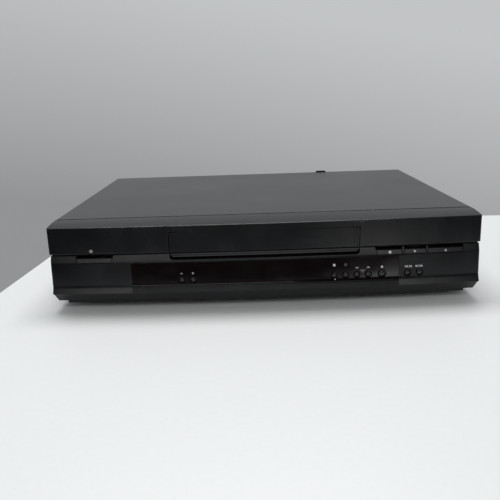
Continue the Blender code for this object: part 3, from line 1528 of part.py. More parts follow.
def main_circuit_board():
    made = board(
        "main_circuit_board",
        MAIN_BOARD_LEFT,
        MAIN_BOARD_RIGHT,
        MAIN_BOARD_FRONT,
        MAIN_BOARD_BACK,
        deck_feet(),
    )
    low = (DECK_HALF_WIDTH, MAIN_BOARD_FRONT)
    high = (MAIN_BOARD_RIGHT, MAIN_BOARD_BACK)
    return join(made, board_parts("main_board_parts", low, high, MAIN_BLOCK_SHARES, MAIN_CAN_SHARES))


def power_supply():
    low = (POWER_BOARD_LEFT, POWER_BOARD_FRONT)
    high = (POWER_BOARD_RIGHT, MAIN_BOARD_BACK)
    made = board("power_supply", POWER_BOARD_LEFT, POWER_BOARD_RIGHT, POWER_BOARD_FRONT, MAIN_BOARD_BACK)
    return join(made, board_parts("power_parts", low, high, POWER_BLOCK_SHARES, POWER_CAN_SHARES))


def post_way():
    """Start and end of the right guide post's path."""
    return Vector((POST_START_X, POST_START_DEPTH)), Vector((POST_END_X, POST_END_DEPTH))


def post_slot(side):
    start, end = post_way()
    way = (end - start).normalized()
    left = Vector((-way.y, way.x)) * POST_SLOT
    reach = way * POST_SLOT
    corners = [start - reach + left, start - reach - left, end + reach - left, end + reach + left]
    outline = [(side * corner.x, FRONT + corner.y) for corner in corners]
    return prism(f"post_slot_{side}", outline, 2, DECK_HEIGHT - CUT, DECK_TOP + CUT)


def deck_plate():
    """The steel plate that carries the tape mechanism, with its shaft holes, guide slots and pivot post."""
    low = (-DECK_HALF_WIDTH, DECK_FRONT, DECK_HEIGHT)
    deck = block("deck_plate", low, (DECK_HALF_WIDTH, DECK_BACK, DECK_TOP), chassis_steel())
    under = DECK_HEIGHT - CUT
    over = DECK_TOP + CUT
    holes = [
        rod("capstan_hole", BUSH_RADIUS + GAP, under, over, (CAPSTAN_X, CAPSTAN_DEPTH)),
        rod("drive_hole", DRIVE_SHAFT + GAP, under, over, (0.0, DRIVE_PULLEY_DEPTH)),
        rod("reel_hole", DRIVE_SHAFT + GAP, under, over, (-REEL_X, REEL_DEPTH)),
        rod("reel_hole", DRIVE_SHAFT + GAP, under, over, (REEL_X, REEL_DEPTH)),
        post_slot(-1),
        post_slot(1),
    ]
    cut(deck, gathered("deck_holes", holes))
    top = PINCH_ARM_HEIGHT + PINCH_ARM_WALL + PINCH_RADIUS
    place = (PINCH_PIVOT_X, PINCH_PIVOT_DEPTH)
    return join(deck, rod("pinch_pivot", PIVOT_RADIUS, DECK_HEIGHT + GAP, top, place, steps=PIN_STEPS))


def drum_place():
    tilt = Matrix.Rotation(-math.atan(DRUM_LEAN_SHARE), 4, "Y")
    return Matrix.Translation(at(0.0, DRUM_DEPTH, DRUM_HEIGHT)) @ tilt


def lower_drum():
    """The fixed, tilted half of the drum on its level foot."""
    profile = ring_profile(DRUM_BORE, DRUM_RADIUS, 0.0, LOWER_DRUM_TALL)
    drum = turned("lower_drum", profile, machined_metal(), DRUM_STEPS)
    drum.matrix_world = drum_place()
    foot_top = DRUM_HEIGHT + LOWER_DRUM_TALL / 3
    foot_profile = rod_profile(DRUM_FOOT_RADIUS, DECK_TOP + GAP, foot_top)
    base = move(turned("drum_foot", foot_profile, None, DRUM_STEPS), at(0.0, DRUM_DEPTH, 0.0))
    join(drum, base)
    bore = turned("drum_bore", rod_profile(DRUM_BORE, LOWER_DRUM_TALL / 4, LOWER_DRUM_TALL + CUT))
    bore.matrix_world = drum_place()
    return cut(drum, bore)


def head_drum():
    """The spinning half of the drum, with its shaft below and the motor's rotor on top."""
    low = LOWER_DRUM_TALL + RUNNING_GAP
    high = low + HEAD_DRUM_TALL
    shaft = DRUM_BORE - GAP
    profile = [
        (0.0, LOWER_DRUM_TALL / 4 + GAP),
        (shaft, LOWER_DRUM_TALL / 4 + GAP),
        (shaft, low),
        (DRUM_RADIUS, low),
        (DRUM_RADIUS, high - DRUM_HOLE / 4),
        (DRUM_RADIUS - DRUM_HOLE / 4, high),
        (ROTOR_RADIUS, high),
        (ROTOR_RADIUS, high + ROTOR_TALL),
        (0.0, high + ROTOR_TALL),
    ]
    drum = turned("head_drum", profile, machined_metal(), DRUM_STEPS)
    drum.matrix_world = drum_place()
    holes = []
    for number in range(DRUM_HOLES):
        angle = 2 * math.pi * number / DRUM_HOLES
        place = Vector((math.cos(angle), math.sin(angle), 0.0)) * (DRUM_RADIUS + ROTOR_RADIUS) / 2
        hole = turned("head_hole", rod_profile(DRUM_HOLE, high - DRUM_RELIEF, high + CUT), steps=PIN_STEPS)
        hole.data.transform(Matrix.Translation(place))
        holes.append(hole)
    cutter = gathered("head_holes", holes)
    cutter.matrix_world = drum_place()
    return cut(drum, cutter)


def capstan():
    """Shaft, flywheel and belt pulley in one turned piece."""
    top = DECK_HEIGHT - RUNNING_GAP - POST_DISC / 2
    low = top - FLYWHEEL_WALL
    profile = [
        (0.0, low - PULLEY_WALL - GAP),
        (CAPSTAN_PULLEY, low - PULLEY_WALL - GAP),
        (CAPSTAN_PULLEY, low),
        (FLYWHEEL_RADIUS, low),
        (FLYWHEEL_RADIUS, top),
        (CAPSTAN_RADIUS, top),
        (CAPSTAN_RADIUS, CAPSTAN_TOP),
        (0.0, CAPSTAN_TOP),
    ]
    wheel = turned("capstan", profile, machined_metal(), DRUM_STEPS)
    return move(wheel, at(CAPSTAN_X, CAPSTAN_DEPTH, 0.0))


def belt_low():
    flywheel_low = DECK_HEIGHT - RUNNING_GAP - POST_DISC / 2 - FLYWHEEL_WALL
    return flywheel_low - PULLEY_WALL


def capstan_bush():
    """The bearing that stands in the deck plate round the capstan's shaft."""
    profile = [
        (CAPSTAN_RADIUS + GAP, DECK_HEIGHT),
        (BUSH_RADIUS, DECK_HEIGHT),
        (BUSH_RADIUS, DECK_TOP + GAP),
        (BUSH_RADIUS + GAP * 3, DECK_TOP + GAP),
        (BUSH_RADIUS + GAP * 3, DECK_TOP + DECK_WALL),
        (BUSH_RADIUS * BUSH_NECK_SHARE, BUSH_TOP),
        (CAPSTAN_RADIUS + GAP, BUSH_TOP),
        (CAPSTAN_RADIUS + GAP, DECK_HEIGHT),
    ]
    return move(turned("capstan_bush", profile, brass_metal()), at(CAPSTAN_X, CAPSTAN_DEPTH, 0.0))


def drive_pulley():
    """The belt pulley under the deck and the friction wheel above it, on one shaft."""
    low = belt_low() - GAP
    high = low + PULLEY_WALL
    wheel_low = DECK_TOP + RUNNING_GAP
    profile = [
        (0.0, low),
        (DRIVE_PULLEY, low),
        (DRIVE_PULLEY, high),
        (DRIVE_SHAFT, high),
        (DRIVE_SHAFT, wheel_low),
        (DRIVE_WHEEL, wheel_low),
        (DRIVE_WHEEL, wheel_low + DRIVE_WHEEL_WALL),
        (0.0, wheel_low + DRIVE_WHEEL_WALL),
    ]
    return move(turned("drive_pulley", profile, deck_plastic()), at(0.0, DRIVE_PULLEY_DEPTH, 0.0))


def belt_outline(extra):
    """The loop round both pulleys, at a distance from their rims, as (x, y)."""
    small = Vector((CAPSTAN_X, FRONT + CAPSTAN_DEPTH))
    large = Vector((0.0, FRONT + DRIVE_PULLEY_DEPTH))
    way = small - large
    heading = math.degrees(math.atan2(way.y, way.x))
    lean = math.degrees(math.acos((DRIVE_PULLEY - CAPSTAN_PULLEY) / way.length))
    steps = ROUND_STEPS // 2
    points = arc(small, CAPSTAN_PULLEY + extra, heading - lean, heading + lean, steps)
    points += arc(large, DRIVE_PULLEY + extra, heading + lean, heading + 360 - lean, steps)
    return points


def drive_belt():
    """The flat belt from the capstan's pulley to the drive pulley."""
    low = belt_low()
    high = low + BELT_TALL
    belt = prism("drive_belt", belt_outline(GAP * 2 + BELT_WALL), 2, low, high, rubber())
    hollow = prism("belt_hollow", belt_outline(GAP * 2), 2, low - CUT, high + CUT)
    return cut(belt, hollow)


def reel(name, side):
    """A reel table: disc, hub and fins that turn a cassette's reel, with a shaft in the deck."""
    low = DECK_TOP + RUNNING_GAP
    profile = [
        (0.0, DECK_HEIGHT),
        (DRIVE_SHAFT, DECK_HEIGHT),
        (DRIVE_SHAFT, low),
        (REEL_RADIUS, low),
        (REEL_RADIUS, low + REEL_WALL),
        (REEL_HUB_RADIUS, low + REEL_WALL),
        (REEL_HUB_RADIUS, REEL_TOP - REEL_HUB_RADIUS / 2),
        (REEL_HUB_RADIUS / 2, REEL_TOP),
        (0.0, REEL_TOP),
    ]
    table = turned(name, profile, deck_plastic())
    move(table, at(side * REEL_X, REEL_DEPTH, 0.0))
    fins = []
    for number in range(REEL_FINS):
        shape = bmesh.new()
        reach = REEL_FIN + REEL_HUB_RADIUS / 2
        middle = REEL_HUB_RADIUS / 2 + reach / 2
        tall = REEL_TOP - REEL_HUB_RADIUS / 2 - low - REEL_WALL / 2
        size = Matrix.Diagonal((reach, REEL_FIN_WALL, tall, 1.0))
        turn = Matrix.Rotation(2 * math.pi * number / REEL_FINS, 4, "Z")
        place = Matrix.Translation((middle, 0.0, low + REEL_WALL / 2 + tall / 2))
        bmesh.ops.create_cube(shape, size=1.0, matrix=turn @ place @ size)
        fins.append(finish_mesh("fin", shape))
    cutter = gathered(f"{name}_fins", fins)
    move(cutter, table.location)
    return join(table, cutter)


def guide_post(name, side):
    """A roller post on a base that runs in a slot of the deck, held by a disc under it."""
    start, _ = post_way()
    low = DECK_TOP + GAP
    base_top = low + POST_BASE_TALL
    disc_low = DECK_HEIGHT - RUNNING_GAP - POST_DISC / 3
    profile = [
        (0.0, disc_low),
        (POST_DISC, disc_low),
        (POST_DISC, DECK_HEIGHT - RUNNING_GAP),
        (POST_PEG, DECK_HEIGHT - RUNNING_GAP),
        (POST_PEG, low),
        (POST_BASE, low),
        (POST_BASE, base_top),
        (POST_RADIUS, base_top),
        (POST_RADIUS, POST_TOP - POST_PEG),
        (POST_BASE * POST_CAP_SHARE, POST_TOP - POST_PEG),
        (POST_BASE * POST_CAP_SHARE, POST_TOP),
        (0.0, POST_TOP),
    ]
    return move(turned(name, profile, machined_metal()), at(side * start.x, start.y, 0.0))


def pinch_reach():
    """Distance and heading from the pinch arm's pivot to its roller, with the roller on the capstan."""
    pivot = Vector((PINCH_PIVOT_X, PINCH_PIVOT_DEPTH))
    shaft = Vector((CAPSTAN_X, CAPSTAN_DEPTH))
    away = PINCH_RADIUS + CAPSTAN_RADIUS + GAP
    swing = math.radians(PINCH_SWING_DEGREES)
    side = Vector((math.sin(swing), math.cos(swing)))
    way = shaft + side * away - pivot
    return way.length, math.atan2(way.y, way.x)


def pinch_centre():
    """The roller's place at rest, swung away from the capstan."""
    length, heading = pinch_reach()
    angle = heading - math.radians(PINCH_SWING_DEGREES)
    x = PINCH_PIVOT_X + length * math.cos(angle)
    return x, PINCH_PIVOT_DEPTH + length * math.sin(angle), angle


def pinch_arm():
    """A flat arm with a sleeve on the pivot and a pin for the roller."""
    length, _ = pinch_reach()
    _, _, angle = pinch_centre()
    half = PINCH_ARM_HALF
    outline = arc((0.0, 0.0), half, 90, 270, HALF_ROUND_STEPS)
    outline += arc((length, 0.0), half, -90, 90, HALF_ROUND_STEPS)
    low = PINCH_ARM_HEIGHT
    high = low + PINCH_ARM_WALL
    arm = prism("pinch_arm", outline, 2, low, high, chassis_steel())
    sleeve = turned("pinch_sleeve", rod_profile(half, DECK_TOP + GAP, high + half))
    pin_profile = rod_profile(PINCH_PIN, high - GAP, high + RUNNING_GAP + PINCH_TALL)
    pin = turned("pinch_pin", pin_profile, steps=PIN_STEPS)
    pin.data.transform(Matrix.Translation((length, 0.0, 0.0)))
    bore_profile = rod_profile(PIVOT_RADIUS + GAP, DECK_HEIGHT, high + 2 * half)
    bore = turned("pinch_bore", bore_profile, steps=PIN_STEPS)
    place = Matrix.Translation(at(PINCH_PIVOT_X, PINCH_PIVOT_DEPTH, 0.0)) @ Matrix.Rotation(angle, 4, "Z")
    for piece in (arm, sleeve, pin, bore):
        piece.matrix_world = place
    join(arm, sleeve, pin)
    return cut(arm, bore)


def pinch_roller():
    x, depth, _ = pinch_centre()
    low = PINCH_ARM_HEIGHT + PINCH_ARM_WALL + RUNNING_GAP
    profile = ring_profile(PINCH_PIN + GAP, PINCH_RADIUS, low, low + PINCH_TALL)
    return move(turned("pinch_roller", profile, rubber()), at(x, depth, 0.0))


def tape_head(name, x, depth):
    """A head block on its foot, with a rounded face towards the tape."""
    half = HEAD_HALF
    base = HEAD_HALF + HEAD_BASE / 4
    low = DECK_TOP + GAP
    high = (x + base, depth + base, low + HEAD_BASE)
    foot_block = block(name, (x - base, depth - base, low), high, machined_metal())
    outline = [(x - half, FRONT + depth + half), (x - half, FRONT + depth)]
    outline += arc((x, FRONT + depth), half, 180, 360, HALF_ROUND_STEPS)[1:]
    outline.append((x + half, FRONT + depth + half))
    face = prism(f"{name}_face", outline, 2, low + HEAD_BASE / 2, HEAD_TOP)
    return join(foot_block, face)


def loading_motor():
    """A small motor on a cradle, with a worm on its shaft."""
    height = DECK_TOP + GAP + HEAD_BASE / 2 + MOTOR_RADIUS
    start = MOTOR_FRONT
    place = (MOTOR_X, start, height)
    motor = lying_rod("loading_motor", MOTOR_RADIUS, place, MOTOR_LENGTH, "Y", machined_metal())
    half = MOTOR_RADIUS * CRADLE_SHARE
    low = (MOTOR_X - half, start + MOTOR_SHAFT, DECK_TOP + GAP)
    high = (MOTOR_X + half, start + MOTOR_LENGTH - MOTOR_SHAFT, height - MOTOR_RADIUS / 2)
    cradle = block("motor_cradle", low, high)
    place = (MOTOR_X, start - WORM_LENGTH - MOTOR_SHAFT, height)
    shaft = lying_rod("motor_shaft", MOTOR_SHAFT, place, 2 * WORM_LENGTH, "Y", steps=PIN_STEPS)
    place = (MOTOR_X, start - WORM_LENGTH, height)
    worm = lying_rod("motor_worm", WORM_RADIUS, place, WORM_LENGTH - MOTOR_SHAFT, "Y", steps=PIN_STEPS)
    return join(motor, cradle, shaft, worm)


def bracket(name, side):
    """An upright side plate on the deck, with a level slot for the slider's pins and a turned out foot."""
    inner = BRACKET_INSIDE
    outer = inner + BRACKET_WALL
    low = DECK_TOP + GAP
    front = max(BRACKET_FRONT, DECK_FRONT)
    left, right = sorted((side * inner, side * outer))
    plate = block(name, (left, BRACKET_FRONT, low), (right, BRACKET_BACK, BRACKET_TOP), chassis_steel())
    left, right = sorted((side * (inner + BRACKET_WALL / 2), side * (outer + BRACKET_FOOT)))
    foot_plate = block(f"{name}_foot", (left, front, low), (right, BRACKET_BACK, low + BRACKET_WALL))
    first, last = slider_pins()
    slot_low = (-outer - CUT, first - PIN_SLOT, SLIDER_PIN_HEIGHT - PIN_SLOT)
    slot_high = (outer + CUT, last + SLIDER_TRAVEL + PIN_SLOT, SLIDER_PIN_HEIGHT + PIN_SLOT)
    slot = block(f"{name}_slot", slot_low, slot_high)
    join(plate, foot_plate)
    return cut(plate, slot)


def slider_span():
    """Front and back depths of the slider at rest."""
    return HOLDER_FRONT + SLIDER_INSET, HOLDER_FRONT + HOLDER_LENGTH - SLIDER_INSET


def slider_pins():
    front, back = slider_span()
    return front + SLIDER_PIN_INSET, back - SLIDER_PIN_INSET


def holder_pins():
    return HOLDER_FRONT + HOLDER_PIN_INSET, HOLDER_FRONT + HOLDER_LENGTH - HOLDER_PIN_INSET


def side_pins(name, depths, height, start, length):
    """Short pins on both sides, at the given depths."""
    found = []
    for depth in depths:
        for side in (-1, 1):
            place = (start if side > 0 else -start - length, depth, height)
            found.append(lying_rod("side_pin", CARRIAGE_PIN, place, length, "X", steps=PIN_STEPS))
    return gathered(name, found)


def carriage_slider():
    """Two side plates joined by a bar. It runs level in the brackets and guides the holder's drop."""
    front, back = slider_span()
    outline = [
        (-SLIDER_HALF, SLIDER_BOTTOM),
        (-SLIDER_INSIDE, SLIDER_BOTTOM),
        (-SLIDER_INSIDE, SLIDER_TOP - SLIDER_BAR_WALL),
        (SLIDER_INSIDE, SLIDER_TOP - SLIDER_BAR_WALL),
        (SLIDER_INSIDE, SLIDER_BOTTOM),
        (SLIDER_HALF, SLIDER_BOTTOM),
        (SLIDER_HALF, SLIDER_TOP),
        (-SLIDER_HALF, SLIDER_TOP),
    ]
    slider = prism("carriage_slider", outline, 1, FRONT + front, FRONT + back, chassis_steel())
    inside = SLIDER_INSIDE - SLIDER_BAR
    over = (inside, back - SLIDER_BAR, SLIDER_TOP + CUT)
    opening = block("slider_opening", (-inside, front - CUT, SLIDER_TOP - SLIDER_BAR_WALL - CUT), over)
    slots = []
    for depth in holder_pins():
        low = (-SLIDER_HALF - CUT, depth - PIN_SLOT, HOLDER_PIN_HEIGHT - HOLDER_TRAVEL - PIN_SLOT)
        high = (SLIDER_HALF + CUT, depth + PIN_SLOT, HOLDER_PIN_HEIGHT + PIN_SLOT)
        slots.append(block("drop_slot", low, high))
    cut(slider, opening, gathered("drop_slots", slots))
    length = BRACKET_INSIDE + BRACKET_WALL - SLIDER_HALF + SLIDER_WALL
    pins = side_pins("slider_pins", slider_pins(), SLIDER_PIN_HEIGHT, SLIDER_HALF - SLIDER_WALL / 2, length)
    return join(slider, pins)


def cassette_holder():
    """The cage that takes the cassette: a top with a window, two sides and two ledges."""
    floor = HOLDER_FLOOR
    head = HOLDER_HEAD
    wall = HOLDER_WALL
    ledge = HOLDER_INSIDE - HOLDER_LEDGE
    right = [(ledge, floor - wall), (HOLDER_HALF, floor - wall), (HOLDER_HALF, head + wall)]
    inner = [(HOLDER_INSIDE, head), (HOLDER_INSIDE, floor), (ledge, floor)]
    left_outer = [(-x, height) for x, height in reversed(right)]
    left_inner = [(-x, height) for x, height in reversed(inner)]
    outline = right + left_outer + left_inner + inner
    back = HOLDER_FRONT + HOLDER_LENGTH
    holder = prism("cassette_holder", outline, 1, FRONT + HOLDER_FRONT, FRONT + back, chassis_steel())
    inset = HOLDER_WINDOW_INSET
    low = (-HOLDER_WINDOW_X, HOLDER_FRONT + inset, head - CUT)
    opening = block("holder_window", low, (HOLDER_WINDOW_X, back - inset, head + wall + CUT))
    cut(holder, opening)
    length = SLIDER_HALF - HOLDER_HALF + SLIDE_GAP + HOLDER_WALL / 2
    pins = side_pins("holder_pins", holder_pins(), HOLDER_PIN_HEIGHT, HOLDER_HALF - HOLDER_WALL / 2, length)
    return join(holder, pins)


def build():
    clear_scene()
    top_cover()
    front_panel()
    cassette_door()
    door_spring()
    display_window()
    display_tube()
    front_circuit_board()
    for name, (x, cap, hole) in ROUND_BUTTONS.items():
        round_button(name, x, cap, hole)
    for name, (left, right, lean_left, lean_right) in KEYS.items():
        waist_key(name, left, right, lean_left, lean_right)
    bottom_plate()
    rear_panel()
    for side, x in (("left", -FOOT_X), ("right", FOOT_X)):
        foot(f"front_foot_{side}", x, FOOT_FRONT)
        foot(f"rear_foot_{side}", x, FOOT_BACK)
    for name, height in SCART_HEIGHTS.items():
        scart_socket(name, height)
    aerial_unit()
    phono_sockets()
    mains_inlet()
    main_circuit_board()
    power_supply()
    deck_plate()
    lower_drum()
    head_drum()
    capstan()
    capstan_bush()
    drive_pulley()
    drive_belt()
    reel("supply_reel", -1)
    reel("take_up_reel", 1)
    guide_post("supply_guide_post", -1)
    guide_post("take_up_guide_post", 1)
    pinch_arm()
    pinch_roller()
    tape_head("erase_head", ERASE_X, ERASE_DEPTH)
    tape_head("control_head", CONTROL_X, CONTROL_DEPTH)
    loading_motor()
    bracket("carriage_bracket_left", -1)
    bracket("carriage_bracket_right", 1)
    carriage_slider()
    cassette_holder()


build()
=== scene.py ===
import math

import bmesh
import bpy
from mathutils import Matrix, Vector


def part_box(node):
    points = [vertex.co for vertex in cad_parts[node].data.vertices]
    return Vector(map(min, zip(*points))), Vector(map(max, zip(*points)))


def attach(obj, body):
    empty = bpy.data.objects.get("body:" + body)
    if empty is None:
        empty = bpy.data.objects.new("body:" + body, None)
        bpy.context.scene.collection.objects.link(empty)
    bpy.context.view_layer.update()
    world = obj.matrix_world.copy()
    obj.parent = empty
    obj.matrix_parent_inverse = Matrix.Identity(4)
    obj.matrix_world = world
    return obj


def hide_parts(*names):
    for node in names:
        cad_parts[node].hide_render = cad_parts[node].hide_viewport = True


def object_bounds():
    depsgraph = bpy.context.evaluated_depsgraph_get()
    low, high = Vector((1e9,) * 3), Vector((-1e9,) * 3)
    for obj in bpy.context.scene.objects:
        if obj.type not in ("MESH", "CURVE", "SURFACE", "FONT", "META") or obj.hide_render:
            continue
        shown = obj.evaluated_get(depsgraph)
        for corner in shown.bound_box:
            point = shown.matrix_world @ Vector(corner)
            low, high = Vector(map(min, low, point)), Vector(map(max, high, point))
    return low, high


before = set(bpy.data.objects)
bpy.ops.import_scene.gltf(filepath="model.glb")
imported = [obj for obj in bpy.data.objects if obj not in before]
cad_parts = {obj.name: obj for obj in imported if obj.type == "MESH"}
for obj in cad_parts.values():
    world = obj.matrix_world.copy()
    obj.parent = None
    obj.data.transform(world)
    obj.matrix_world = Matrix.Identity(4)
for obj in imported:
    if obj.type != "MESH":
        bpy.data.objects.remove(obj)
LOW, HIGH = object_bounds()

# The object's size, from the frame
HALF = (HIGH.x - LOW.x) / 2
FRONT = LOW.y
GAP = 0.0003
CUT = 0.0020

# Front panel: heights of its outline, and how far each height lies behind the chin's edge
SEAM_DEPTH = 0.0425
SEAM_HEIGHT = 0.0866
TOP_EDGE_HEIGHT = 0.0847
TOP_EDGE_ROUND = 0.0010
TOP_SETBACK = 0.0116
LIP_HEIGHT = 0.0583
LIP_SETBACK = 0.0085
GROOVE_HEIGHT = 0.0574
GROOVE_SETBACK = 0.0112
SHOULDER_HEIGHT = 0.0561
SHOULDER_SETBACK = 0.0098
BELT_HEIGHT = 0.0490
BELT_SETBACK = 0.0070
CHIN_HEIGHT = 0.0181
CHIN_ROUND = 0.0008
UNDERCUT_HEIGHT = 0.0102
UNDERCUT_SETBACK = 0.0045
BULGE = 0.0045
CORNER_RADIUS = 0.0015
WAIST_INSET = 0.0016
LOWER_INSET = 0.0005
CHAMFER_INSET = 0.0035
FLARE_KNEE_HEIGHT = 0.0248
FLARE_KNEE_SETBACK = 0.0031
FLARE_KNEE_REACH = 0.0024
PANEL_WALL = 0.0028
PANEL_TOP_WALL = 0.0020
TONGUE_WALL = 0.0016
TONGUE_LENGTH = 0.0060
TONGUE_ROOT = 0.0040
KEEL_HALF_WIDTH = 0.2030
KEEL_HEIGHT = 0.0066
KEEL_SETBACK = 0.0070
KEEL_DEPTH = 0.0260
COVER_TOP = 0.0870
COVER_WALL = 0.0009
COVER_BEND = 0.0016
COVER_BOTTOM = 0.0100
COVER_LIP = 0.0036
CASE_DEPTH = 0.2870

# Slot and door
SLOT_HALF_WIDTH = 0.0945
SLOT_BOTTOM = 0.0504
SLOT_TOP = 0.0779
SLOT_ROUND = 0.0035
SLOT_EASE = 0.0004
DOOR_GAP = 0.0004
DOOR_WALL = 0.0022
DOOR_SILL_GAP = 0.0030
DOOR_LINE_HEIGHT = 0.0547
DOOR_LINE_WIDTH = 0.0005
DOOR_LINE_DEPTH = 0.0006
DOOR_RIB_INSETS = (0.0022, 0.0048)
DOOR_RIB_WIDTH = 0.0006
DOOR_RIB_DEPTH = 0.0003
HINGE_HEIGHT = 0.0792
HINGE_BEHIND = 0.0024
BARREL_RADIUS = 0.0012
PIN_RADIUS = 0.0009
PIN_LENGTH = 0.0030
EAR_WIDTH = 0.0042
EAR_DEPTH = 0.0080
EAR_HEIGHT = 0.0090
RELIEF_SKIN = 0.0008
RELIEF_DEPTH = 0.0060
RELIEF_HEIGHT = 0.0030
SPRING_ROOM = 0.0074
SPRING_SKIN = 0.00085
SPRING_NOTCH = 0.0016

# Window
WINDOW_HALF_WIDTH = 0.1340
WINDOW_BOTTOM = 0.0248
WINDOW_TOP = 0.0481
WINDOW_WALL = 0.0013
WINDOW_SINK = 0.0001
WINDOW_END_GAP = 0.0002
SILL_PROUD = 0.0008
DISPLAY_HALF_WIDTH = 0.0500
DISPLAY_BOTTOM = 0.0335
DISPLAY_TOP = 0.0470

# Buttons and keys
BUTTON_HEIGHT = 0.0303
BUTTON_PROUD = 0.0007
SMALL_HOLE = 0.0036
LARGE_HOLE = 0.0044
PLAIN_HOLE = 0.0038
KEY_BOTTOM = 0.0491
KEY_TOP = 0.0533
KEY_SLOT_TOP = 0.0567
KEY_GAP = 0.0004
KEY_LEAN = 0.0016
KEY_SINK = 0.0003
BUTTON_DOME = 0.0014
DOME_STEPS = 10
FLANGE_RIM = 0.0008
FLANGE_WALL = 0.0012
STEM_RADIUS = 0.0016
KEY_LEG_BOTTOM = 0.0420
KEY_LEG_WALL = 0.0014
KEY_LEG_RIM = 0.0010
KEY_SWITCH_HEIGHT = 0.0450
KEY_SOFTNESS = 0.0003
CAPS = {
    "tracking_down_button": 0.0026,
    "tracking_up_button": 0.0026,
    "record_button": 0.0026,
    "timer_button": 0.0026,
    "channel_down_button": 0.0026,
    "channel_up_button": 0.0026,
    "timed_record_button": 0.0033,
    "rewind_button": 0.0028,
    "fast_forward_button": 0.0028,
}
HOLES = {
    "tracking_down_button": SMALL_HOLE,
    "tracking_up_button": SMALL_HOLE,
    "record_button": SMALL_HOLE,
    "timer_button": SMALL_HOLE,
    "channel_down_button": SMALL_HOLE,
    "channel_up_button": SMALL_HOLE,
    "timed_record_button": LARGE_HOLE,
    "rewind_button": PLAIN_HOLE,
    "fast_forward_button": PLAIN_HOLE,
}
KEY_LEANS = {
    "power_key": (0.0, KEY_LEAN),
    "stop_key": (-KEY_LEAN, 0.0),
    "play_key": (0.0, 0.0),
    "eject_key": (0.0, 0.0),
}

# Printed signs
SIGN_PROUD = 0.00003
SIGN_WALL = 0.00008
SIGN_LINE = 0.00055
SIGN_STEPS = 24
SIGN_HALF = 0.0012
KEY_SIGN_HEIGHT = 0.0512
PLAIN_SIGN_HEIGHT = 0.0366
PLAIN_SIGN_SHIFT = 0.0004
RECORD_SIGN_HEIGHT = 0.0405
RECORD_DOT = 0.0013
TIMED_DOT = 0.0011
CHANNEL_SIGN_HEIGHT = 0.0371
CHEVRON_HALF = 0.0015
CHEVRON_SHARE = 0.75
TRACKING_SIGN_HEIGHT = 0.0368
LAMP_DOT = 0.0006
LAMP_SHIFT = 0.0009
LAMP_HEIGHT = 0.0262
WEDGE_HALF = 0.0032
WEDGE_HEIGHT = 0.0335
POWER_SIGN_X = -0.1730
POWER_SIGN_HEIGHT = 0.0612
POWER_SIGN_RADIUS = 0.0012
POWER_STROKE_SHARE = 1.15
CLOCK_HAND_SHARES = (0.7, 0.6)
TRACKING_SHARE = 0.8
ARROW_SHARE = 1.3
ARROW_PLACE_SHARES = (-2.4, -1.2, 0.9, 2.3)

# Top cover
COVER_SOFTNESS = 0.00025
VENT_BACK_INSET = 0.0700
VENT_PITCH = 0.0080
VENT_WIDTH = 0.0030
VENT_BOTTOM = 0.0300
VENT_TOP = 0.0560
VENTS = 9

# Rear panel and its sockets
REAR_FACE = 0.2860
REAR_WALL = 0.0020
REAR_BOTTOM = 0.0092
REAR_SOFTNESS = 0.0003
TAB_WIDTH = 0.0150
TAB_SHARE = 0.4465
TAB_WALL = 0.0018
TAB_RISE = 0.0020
TAB_DROP = 0.0090
TAB_ROUND = 0.0018
SCART_WIDTH = 0.0480
SCART_HEIGHT = 0.0165
SCART_PROUD = 0.0015
SCART_RECESS = 0.0110
SCART_WALL = 0.0012
SCART_LEAN = 0.0050
SCART_ROUND = 0.0010
CONTACTS = 10
CONTACT_PITCH = 0.0036
CONTACT_WIDTH = 0.0014
CONTACT_PROUD = 0.0003
COLLAR_RADIUS = 0.0070
AERIAL_HEIGHTS = (0.0360, 0.0600)
PHONO_HEIGHTS = (0.0360, 0.0520)
PHONO_RADIUS = 0.0041
RING_RADIUS = 0.0058
RING_WALL = 0.0008
INLET_HEIGHT = 0.0330
REAR_VENTS = 8
REAR_VENT_WIDTH = 0.0025
REAR_VENT_PITCH = 0.0070
REAR_VENT_BOTTOM = 0.0400
REAR_VENT_TOP = 0.0700
REAR_VENT_SPACING = 0.0635
SCREW_RADIUS = 0.0028
SCREW_TALL = 0.0015
SCREW_CROSS = 0.0018
SCREW_CROSS_WALL = 0.0006
SCREW_TURN = 37
LOW_SCREW_HEIGHT = 0.0155
HIGH_SCREW_HEIGHT = 0.0780
LOW_SCREWS = (-0.82, -0.25, 0.25, 0.68)
HIGH_SCREWS = (-0.93, 0.0, 0.93)

# Feet
FOOT_TAPER = 0.0020
FOOT_SOFTNESS = 0.0016

# Fineness of the modelled pieces
FACE_STEPS = 56
CORNER_STEPS = 8
STRIP_STEPS = 12
FLARE_STEPS = 8
FILLET_STEPS = 4
ROUND_STEPS = 48
KEY_STEPS = 4
SHARP = math.radians(32)

ROOT = "recorder"


def at(x, depth, height):
    """A point given by its depth behind the chin's edge."""
    return Vector((x, FRONT + depth, height))


def bulge(x):
    """How far the curved front falls back from the middle."""
    return BULGE * (x / HALF) ** 2


def knee():
    """The soft bend over the chin, from the flatter face down to the steeper lip, as (setback, height)."""
    above = Vector((BELT_SETBACK, BELT_HEIGHT))
    here = Vector((FLARE_KNEE_SETBACK, FLARE_KNEE_HEIGHT))
    below = Vector((0.0, CHIN_HEIGHT + CHIN_ROUND))
    start = here + (above - here).normalized() * FLARE_KNEE_REACH
    end = here + (below - here).normalized() * FLARE_KNEE_REACH
    found = []
    for step in range(FLARE_STEPS + 1):
        share = step / FLARE_STEPS
        found.append(tuple(start * (1 - share) ** 2 + here * 2 * share * (1 - share) + end * share ** 2))
    return found


